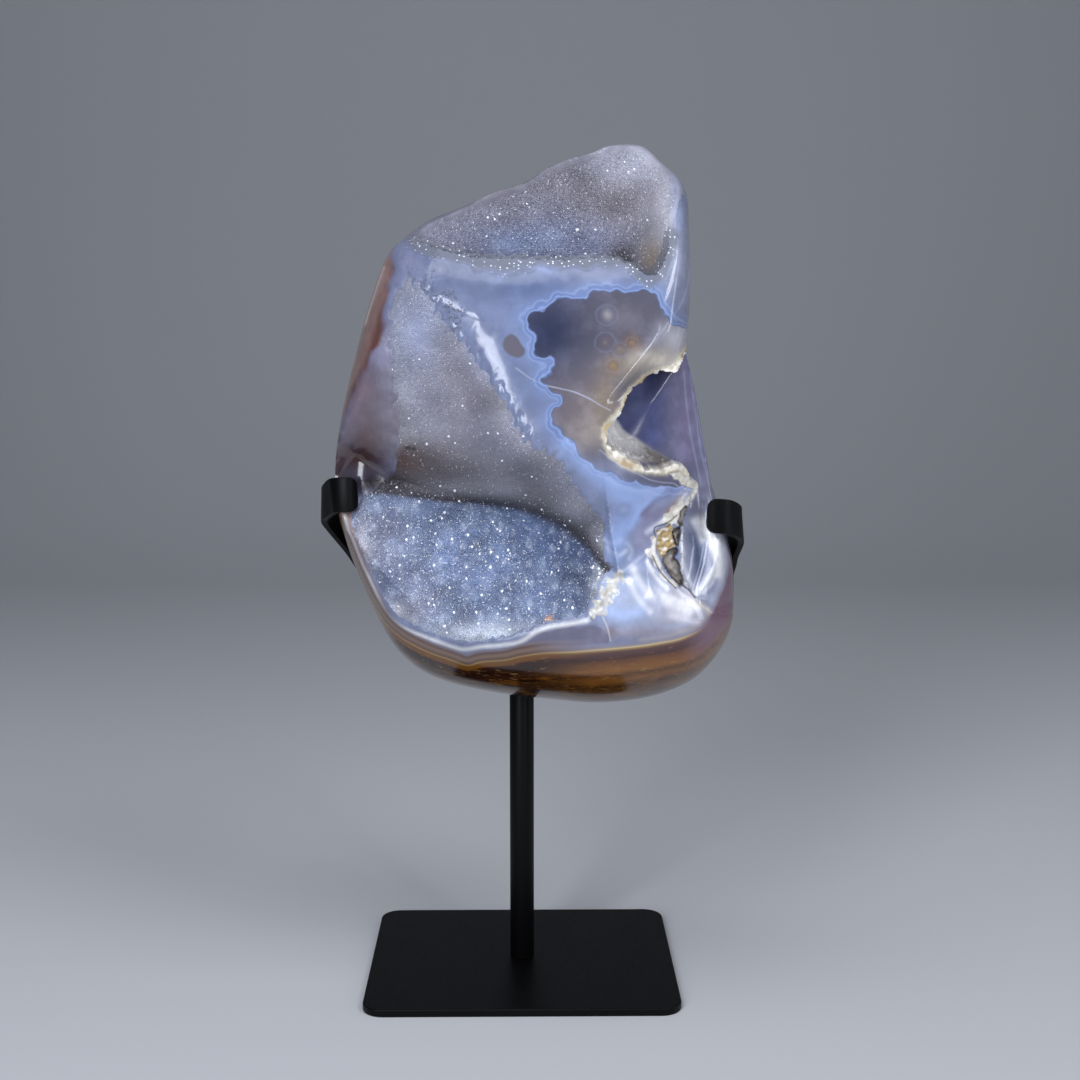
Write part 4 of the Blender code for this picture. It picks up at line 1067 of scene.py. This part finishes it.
rindRight, shareRight = fillRamp(agateNode("ramp", share), [
    (0.16, "A09AAA", 0), (0.215, "948C96", 0.5), (0.238, "A89A8A", 0.9), (0.25, "D2BC92", 1),
    (0.262, "A0845A", 1), (0.29, "5C4242", 1), (0.37, "4A2E2C", 1), (0.42, "6E4426", 1),
    (0.52, "8A5A28", 1), (0.58, "5C3818", 1), (0.66, "7A4E20", 1), (0.76, "4A2C12", 1),
    (0.86, "5A3A18", 1), (1, "3A2414", 1),
])
across = agateNode("axis", where)
toRight = agateNode("smooth", across, 0, 0.034)
rindLook = agateNode("mix", toRight, rindLeft, rindRight)
rindShare = agateNode("mix", toRight, shareLeft, shareRight)
gritNoise = agateNode("noise", agateNode("stretch", where, (0.35, 1, 1.4)), 1000 / 1.6, 4, 0.7)
grit = agateNode("smooth", gritNoise, 0.55, 0.75, 0, 0.55)
grit = agateNode("multiply", grit, agateNode("smooth", swayed, 0, 3))
rindLook = agateNode("mix", grit, rindLook, rgba("B8935A"))
amberNoise = agateNode("noise", agateNode("stretch", where, (0.45, 1, 1.3)), 1000 / 5, 4, 0.65)
amber = agateNode("smooth", amberNoise, 0.48, 0.66, 0, 0.5)
amber = agateNode("multiply", amber, agateNode("smooth", swayed, 4, 7))
rindLook = agateNode("mix", amber, rindLook, rgba("8E5A1C"))
# beyond the bulge's tip the rind is plain mauve
mauve = agateNode("multiply", agateNode("smooth", across, 0.056, 0.069), agateNode("smooth", swayed, 13, 5))
rindLook = agateNode("mix", mauve, rindLook, rgba("7C6070"))
look = agateNode("mix", rindShare, look, rindLook)
skinNoise = agateNode("smooth", agateNode("noise", where, 1000 / 7, 6, 0.65), 0.3, 0.7, 0.65, 1.45)
skinLook = agateNode("tint", 1, agateNode("colour", attribute_name="outerColour"), skinNoise)
look = agateNode("mix", agateNode("number", attribute_name="skinShare"), look, skinLook)

# Grit: tiny crystals under the lip, pits in the polish of the crest. Both are drawn 0.8 to 1.1 mm
# apart, coarser than in the stone, so that they show.
speck = agateNode("cells", where, 1000 / 0.8)
chosen = agateNode("smooth", agateNode("channel", speck.node.outputs["Color"]), 0.84, 0.86)
glint = agateNode("multiply", chosen, agateNode("smooth", speck, 0.3, 0.45, 1, 0))
grain = agateNode("number", attribute_name="grain")
grainNoise = agateNode("multiplyAdd", agateNode("noise", where, 1000 / 4, 4), 0.6, -0.3)
patchy = agateNode("smooth", agateNode("add", grain, grainNoise), 0.15, 0.85)
look = agateNode("mix", agateNode("multiply", patchy, 0.7), look, rgba("6C707A"))
# painted glints: white specks among the grit
look = agateNode("mix", agateNode("multiply", patchy, glint), look, rgba("F4F6FA"))
pitField = agateNode("number", attribute_name="pits")
pitNoise = agateNode("noise", where, 1000 / 1.1, 3, 0.7)
pitArea = agateNode("noise", where, 1000 / 6, 2)
pitPlace = agateNode("smooth", agateNode("multiply", pitField, pitArea), 0.22, 0.36)
pit = agateNode("multiply", agateNode("smooth", pitNoise, 0.54, 0.62), pitPlace)
look = agateNode("mix", agateNode("multiply", pit, 0.75), look, rgba("5E6068"))

dullness = agateNode("number", attribute_name="dull")
rough = agateNode("maximum", dullness, agateNode("maximum", patchy, pit))
relief = agateNode("multiply", rough, agateNode("noise", where, 1000 / 1.2, 5, 0.7))
ripple = agateNode("multiplyAdd", agateNode("noise", where, 1000 / 16, 1), 0.35, relief)
feed(agateShader, {
    "Base Color": look,
    "Roughness": agateNode("smooth", rough, 0, 1, 0.16, 0.62),
    "IOR": 1.54,
    "Coat Weight": 0.25,
    "Coat Roughness": 0.04,
    "Subsurface Weight": 0.12,
    "Subsurface Radius": (1, 1, 1.2),
    "Subsurface Scale": 2.5 * mm,
    "Normal": agateNode("bump", 0.8, 0.5 * mm, ripple),
}.items())

print("druzy colours")
slopeStains = [
    (-36, 252, 12, 20, "8E96B2", 0.8),
    (-20, 232, 14, 18, "827C88", 0.8),
    (-32, 224, 7, 9, "8C8A9A", 0.6),
    (-14, 246, 6, 9, "8E94AE", 0.6),
    (-6, 214, 14, 12, "8A8A9A", 0.7),
    # painted shade: the slope darker just above the valley
    (-24, 203, 26, 8, "5E5A60", 0.9),
    (-46, 206, 16, 8, "4E362C", 0.9),
    (-52, 197.5, 14, 4, "1C0E0C", 0.95),
    # painted shade: the slope darker just above the valley
    (8, 198, 12, 8, "5E5A62", 0.8),
    (20, 203, 8, 8, "888CA0", 0.7),
    (24, 186, 8, 8, "6A6A76", 0.7),
    (-41, 210.7, 1.6, 0.8, "1E100C", 0.95),
    (-38.8, 210.3, 0.7, 0.7, "1E100C", 0.9),
    (-47.9, 204.2, 1, 0.8, "1E100C", 0.9),
]
bowlStains = [
    (-24, 170, 22, 14, "64769A", 0.6),
    (6, 172, 18, 14, "566A90", 0.7),
    # painted shade on the bowl's right side, under the protruding stone
    (20, 168, 9, 18, "404A66", 0.8),
    (-50, 176, 10, 14, "74788E", 0.8),
    (-36, 158, 10, 10, "7E8098", 0.6),
    (-10, 146, 26, 4, "C6CCD6", 0.85),
    (-46, 152, 9, 5, "CCCAD0", 0.8),
    (-58, 172, 4, 12, "B8B2B4", 0.7),
    (29, 160, 4, 9, "C8C6B8", 0.8),
    (9.7, 151.6, 1.2, 1.2, "E0A068", 0.95),
]
druzyLooks = {
    "nicheDruzy": {"colour": "75727E", "stains": nicheStains, "glints": 0.007},
    "sideDruzy": {
        "colour": "B8B6B8", "glints": 0.01,
        # near white on the left, a painted reflection, and darker to the right
        "stains": [(48, 207.5, 8, 5, "7A7472", 0.9), (34, 217, 7, 6, "FAF9F8", 0.95)],
    },
}
for name, (crust, flatPoints, luck) in crusts.items():
    x, z = flatPoints[:, 0], flatPoints[:, 1]
    if name == "frontDruzy":
        polish = polishColour(x, z)
        fold = z - np.interp(x, *np.array(valley).T[:2])
        aboveValley = smoothStep(-1.5, 1.5, fold)
        colour = stained(x, z, "8E8E96", slopeStains)
        mounds = cells(x, z, 9, seed=94)
        bowl = layered(stained(x, z, "5C6A87", bowlStains), [
            ("A6B4D0", 0.18 * smoothStep(0.16, 0, mounds)),
            ("585A76", 0.2 * smoothStep(0.18, 0.42, mounds)),
            ("B0B8CA", 0.35 * smoothStep(0.3, 1.2, waves(x, z, 2.6, seed=96))),
            ("484E64", 0.35 * smoothStep(0.3, 1.2, waves(x, z, 3.4, seed=97))),
        ])
        colour = mixed(bowl, colour, aboveValley)
        # painted shade: a dark band along the valley's crease, narrow on the left and broad on the right
        broad = smoothStep(-20, 10, x)
        creaseShadeReach = np.where(fold < 0, fold / (1 + 1.5 * broad), fold / (3.4 + 2 * broad))
        colour = blend(colour, "231F28", 0.9 * np.exp(-(creaseShadeReach**2)))
        within = depthInside(x, z, frontDruzyLoop)
        soft = smoothStep(196, 214, z)
        meeting = smoothStep(-0.5, 1 + 5 * soft, within + 1.5 * soft * waves(x, z, 5, seed=95))
        colour = mixed(polish, colour, meeting)
        glints = 0.017 - 0.011 * aboveValley
        contrast = 0.6 - 0.18 * aboveValley
        contrast = contrast * (0.15 + 0.85 * smoothStep(0.5, 1 + 6 * soft, within))
    else:
        looks = druzyLooks[name]
        colour = stained(x, z, looks["colour"], looks["stains"])
        glints = np.full(len(x), looks["glints"])
        contrast = np.full(len(x), 0.34)
    clouded = 1.03 + 0.16 * waves(x, z, 11, seed=91) - 0.12 * waves(x, z, 7, seed=92)
    colourAttribute(crust, "crustColour", colour * clouded[:, None])
    mesh = crust.data
    corners = np.empty(len(mesh.polygons) * 3, np.int32)
    mesh.polygons.foreach_get("vertices", corners)
    tip = corners.reshape(-1, 3).min(1)  # each facet's crystal
    dice = np.random.RandomState(93)
    facetLuck = dice.uniform(0, 1, len(tip))
    bright = np.maximum(luck[tip] > 1 - 0.5 * glints[tip], 0.6 * (facetLuck > 1 - 2.2 * glints[tip]))
    shade = 1 + contrast[tip] * (dice.uniform(0, 1, len(tip)) - 0.5)
    numberAttribute(crust, "glint", bright, "FACE")
    numberAttribute(crust, "shade", shade, "FACE")

# Quartz druzy: small clear-grey points that take the colour of the agate under them; the glinting ones are
# painted white, painted glints.
glintShare = druzyNode("number", attribute_name="glint")
crustColour = druzyNode("colour", attribute_name="crustColour")
crystalLook = druzyNode("tint", 1, crustColour, druzyNode("colour", attribute_name="shade"))
feed(druzyShader, {
    "Base Color": druzyNode("mix", glintShare, crystalLook, rgba("FAFCFF")),
    "Roughness": druzyNode("smooth", glintShare, 0, 1, 0.34, 0.12),
    "IOR": 1.54,
    "Subsurface Weight": 0.15,
    "Subsurface Radius": (1, 1, 1.1),
    "Subsurface Scale": 1.2 * mm,
}.items())

print("stand")
# Powder-coated steel: matte black with a fine grain that only shows where the light grazes it.
steelMaterial, steelNode, steelShader = newMaterial("Black powder-coated steel")
steelWhere = steelNode("place")
dust = steelNode("cells", steelWhere, 1000 / 2.2)
chosen = steelNode("smooth", steelNode("channel", dust.node.outputs["Color"]), 0.93, 0.95, 0, 0.35)
dusty = steelNode("multiply", chosen, steelNode("smooth", dust, 0.04, 0.12, 1, 0))
# the flap of the right claw is painted lighter grey: a painted sheen where the light catches it
steelX = steelNode("axis", steelWhere)
flap = steelNode("smooth", steelX, 0.064, 0.067)
flap = steelNode("multiply", flap, steelNode("smooth", steelX.node.outputs[1], -0.04, -0.048))
sheenNoise = steelNode("noise", steelWhere, 1000 / 1.2, 3, 0.7)
wornAndSheen = steelNode("multiply", flap, steelNode("smooth", sheenNoise, 0.2, 0.7, 0.3, 1))
steelColour = steelNode("mix", wornAndSheen, rgba("030304"), rgba("42464E"))
# the coat's grain is drawn 0.35 mm wide, coarser than the real one, so that it shows
coatGrain = steelNode("noise", steelWhere, 1000 / 0.35, 2)
feed(steelShader, {
    "Base Color": steelNode("mix", dusty, steelColour, rgba("4C5058")),
    "Specular IOR Level": 0.14,
    "Roughness": steelNode("smooth", coatGrain, 0.3, 0.7, 0.38, 0.52),
    "Normal": steelNode("bump", 0.5, 0.05 * mm, coatGrain),
}.items())


def useSteel(obj, name, nodeName):
    obj.name = name
    obj.data.materials.clear()
    obj.data.materials.append(steelMaterial)
    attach(obj, "root")
    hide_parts(nodeName)


def choose(obj):
    bpy.ops.object.select_all(action="DESELECT")
    obj.select_set(True)
    bpy.context.view_layer.objects.active = obj


def applyModifier(obj, kind, **settings):
    modifier = obj.modifiers.new(kind.lower(), kind)
    for key, value in settings.items():
        setattr(modifier, key, value)
    choose(obj)
    bpy.ops.object.modifier_apply(modifier=modifier.name)


def softenEdges(obj, width, segments, degrees):
    angle = math.radians(degrees)
    applyModifier(obj, "BEVEL", width=width * mm, segments=segments, limit_method="ANGLE", angle_limit=angle)
    obj.data.shade_smooth()


def settle(obj):
    choose(obj)
    bpy.ops.object.transform_apply(location=True, rotation=True, scale=True)


plateSettings = {"size": (120, 100, 3), "corner": 8, "edge": 0.5}
bpy.ops.mesh.primitive_cube_add(size=1, location=(0, 0, plateSettings["size"][2] / 2 * mm))
plate = bpy.context.object
plate.scale = [side * mm for side in plateSettings["size"]]
settle(plate)
bpy.ops.object.mode_set(mode="EDIT")
bpy.ops.mesh.select_mode(type="EDGE")
bpy.ops.mesh.select_all(action="DESELECT")
bpy.ops.object.mode_set(mode="OBJECT")
for edge in plate.data.edges:
    ends = [plate.data.vertices[k].co for k in edge.vertices]
    edge.select = abs(ends[0].z - ends[1].z) > 1 * mm
bpy.ops.object.mode_set(mode="EDIT")
bpy.ops.mesh.bevel(offset=plateSettings["corner"] * mm, segments=12, affect="EDGES", clamp_overlap=False)
bpy.ops.object.mode_set(mode="OBJECT")
softenEdges(plate, plateSettings["edge"], 3, 60)
applyModifier(plate, "WEIGHTED_NORMAL", keep_sharp=True)
useSteel(plate, "basePlate", "base_plate")

rodSettings = {"radius": 4.75, "sides": 64, "edge": 0.25}
heights = [corner.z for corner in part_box("rod")]
low, high = min(heights), max(heights)
bpy.ops.mesh.primitive_cylinder_add(
    vertices=rodSettings["sides"], radius=rodSettings["radius"] * mm,
    depth=high - low, location=(0, 0, (low + high) / 2),
)
rodPiece = bpy.context.object
settle(rodPiece)
softenEdges(rodPiece, rodSettings["edge"], 2, 60)
rodPiece.data.set_sharp_from_angle(angle=math.radians(35))
useSteel(rodPiece, "standRod", "rod")

bar = bpy.data.objects.new("cradleBar", bpy.data.objects["cradle_bar"].data.copy())
scene.collection.objects.link(bar)
choose(bar)
bpy.ops.object.mode_set(mode="EDIT")
bpy.ops.mesh.select_all(action="SELECT")
bpy.ops.mesh.remove_doubles(threshold=0.001 * mm)
bpy.ops.mesh.customdata_custom_splitnormals_clear()
bpy.ops.mesh.tris_convert_to_quads(face_threshold=math.radians(60), shape_threshold=math.radians(60))
bpy.ops.object.mode_set(mode="OBJECT")
softenEdges(bar, 0.4, 3, 50)
bar.data.set_sharp_from_angle(angle=math.radians(40))
useSteel(bar, "cradleBar", "cradle_bar")

print("studio")
# Studio paper: matt and plain, so that it only takes the shadows.
floorMaterial, _, floorShader = newMaterial("Pale studio paper")
feed(floorShader, (("Base Color", rgba("C9CACC")), ("Roughness", 0.9)))
# a sheet that lies flat and then sweeps up behind the piece
profile = [(-1.6, 0), (0.9, 0)]
profile += [(0.9 + 0.7 * math.sin(a), 0.7 - 0.7 * math.cos(a)) for a in np.linspace(0.15, math.pi / 2, 12)]
profile += [(1.6, 2.6)]
sweep = np.array([(x, y, z) for x in (-2.6, 2.6) for y, z in profile])
count = len(profile)
sweepFaces = np.array([(k, k + count, k + count + 1, k + 1) for k in range(count - 1)])
floor = meshObject("studioPaper", sweep, sweepFaces, floorMaterial)
floor.data.shade_smooth()

world = bpy.data.worlds.new("Studio")
scene.world = world
world.use_nodes = True
feed(world.node_tree.nodes["Background"], ((0, rgba("8E97A8")), (1, 0.24)))

# bearing and height in degrees from the viewer's side, distance, width and height in metres, watts, colour
lights = [
    ("tallSoftbox", -25, 20, 1.00, 0.3, 0.8, 7.6, "F0F5FF"),
    ("rightSoftbox", 49, 42, 1.05, 0.45, 0.35, 3.6, "F6F8FF"),
    ("slimSoftbox", 29, 4, 1.05, 0.11, 0.45, 1.6, "F4F7FF"),
    ("sideSoftbox", 88, 4, 1.1, 0.16, 0.7, 1.6, "EEF3FF"),
    ("topSoftbox", -30, 70, 1.00, 0.8, 0.5, 3.6, "F4F7FF"),
]
middle = Vector((0, -0.03, 0.22))
for name, bearing, rise, reach, width, height, power, code in lights:
    lamp = bpy.data.lights.new(name, "AREA")
    lamp.shape, lamp.size, lamp.size_y = "RECTANGLE", width, height
    lamp.energy, lamp.color = power, linear(code)
    holder = bpy.data.objects.new(name, lamp)
    az, el = math.radians(bearing), math.radians(rise)
    place = middle + reach * Vector((math.sin(az) * math.cos(el), -math.cos(az) * math.cos(el), math.sin(el)))
    holder.location = place
    holder.rotation_euler = (middle - place).to_track_quat("-Z", "Y").to_euler()
    scene.collection.objects.link(holder)

camera = bpy.data.cameras.new("Camera")
focalPixels, photoPixels = 1600, 1080
camera.sensor_width, camera.clip_start = 36, 0.01
camera.lens = focalPixels / photoPixels * camera.sensor_width
cameraObject = bpy.data.objects.new("Camera", camera)
cameraObject.location = (0, -0.613, 0.261)
cameraObject.rotation_euler = (math.radians(90 - 8.27), 0, math.radians(-0.67))
scene.collection.objects.link(cameraObject)
scene.camera = cameraObject
scene.view_settings.view_transform = "Standard"
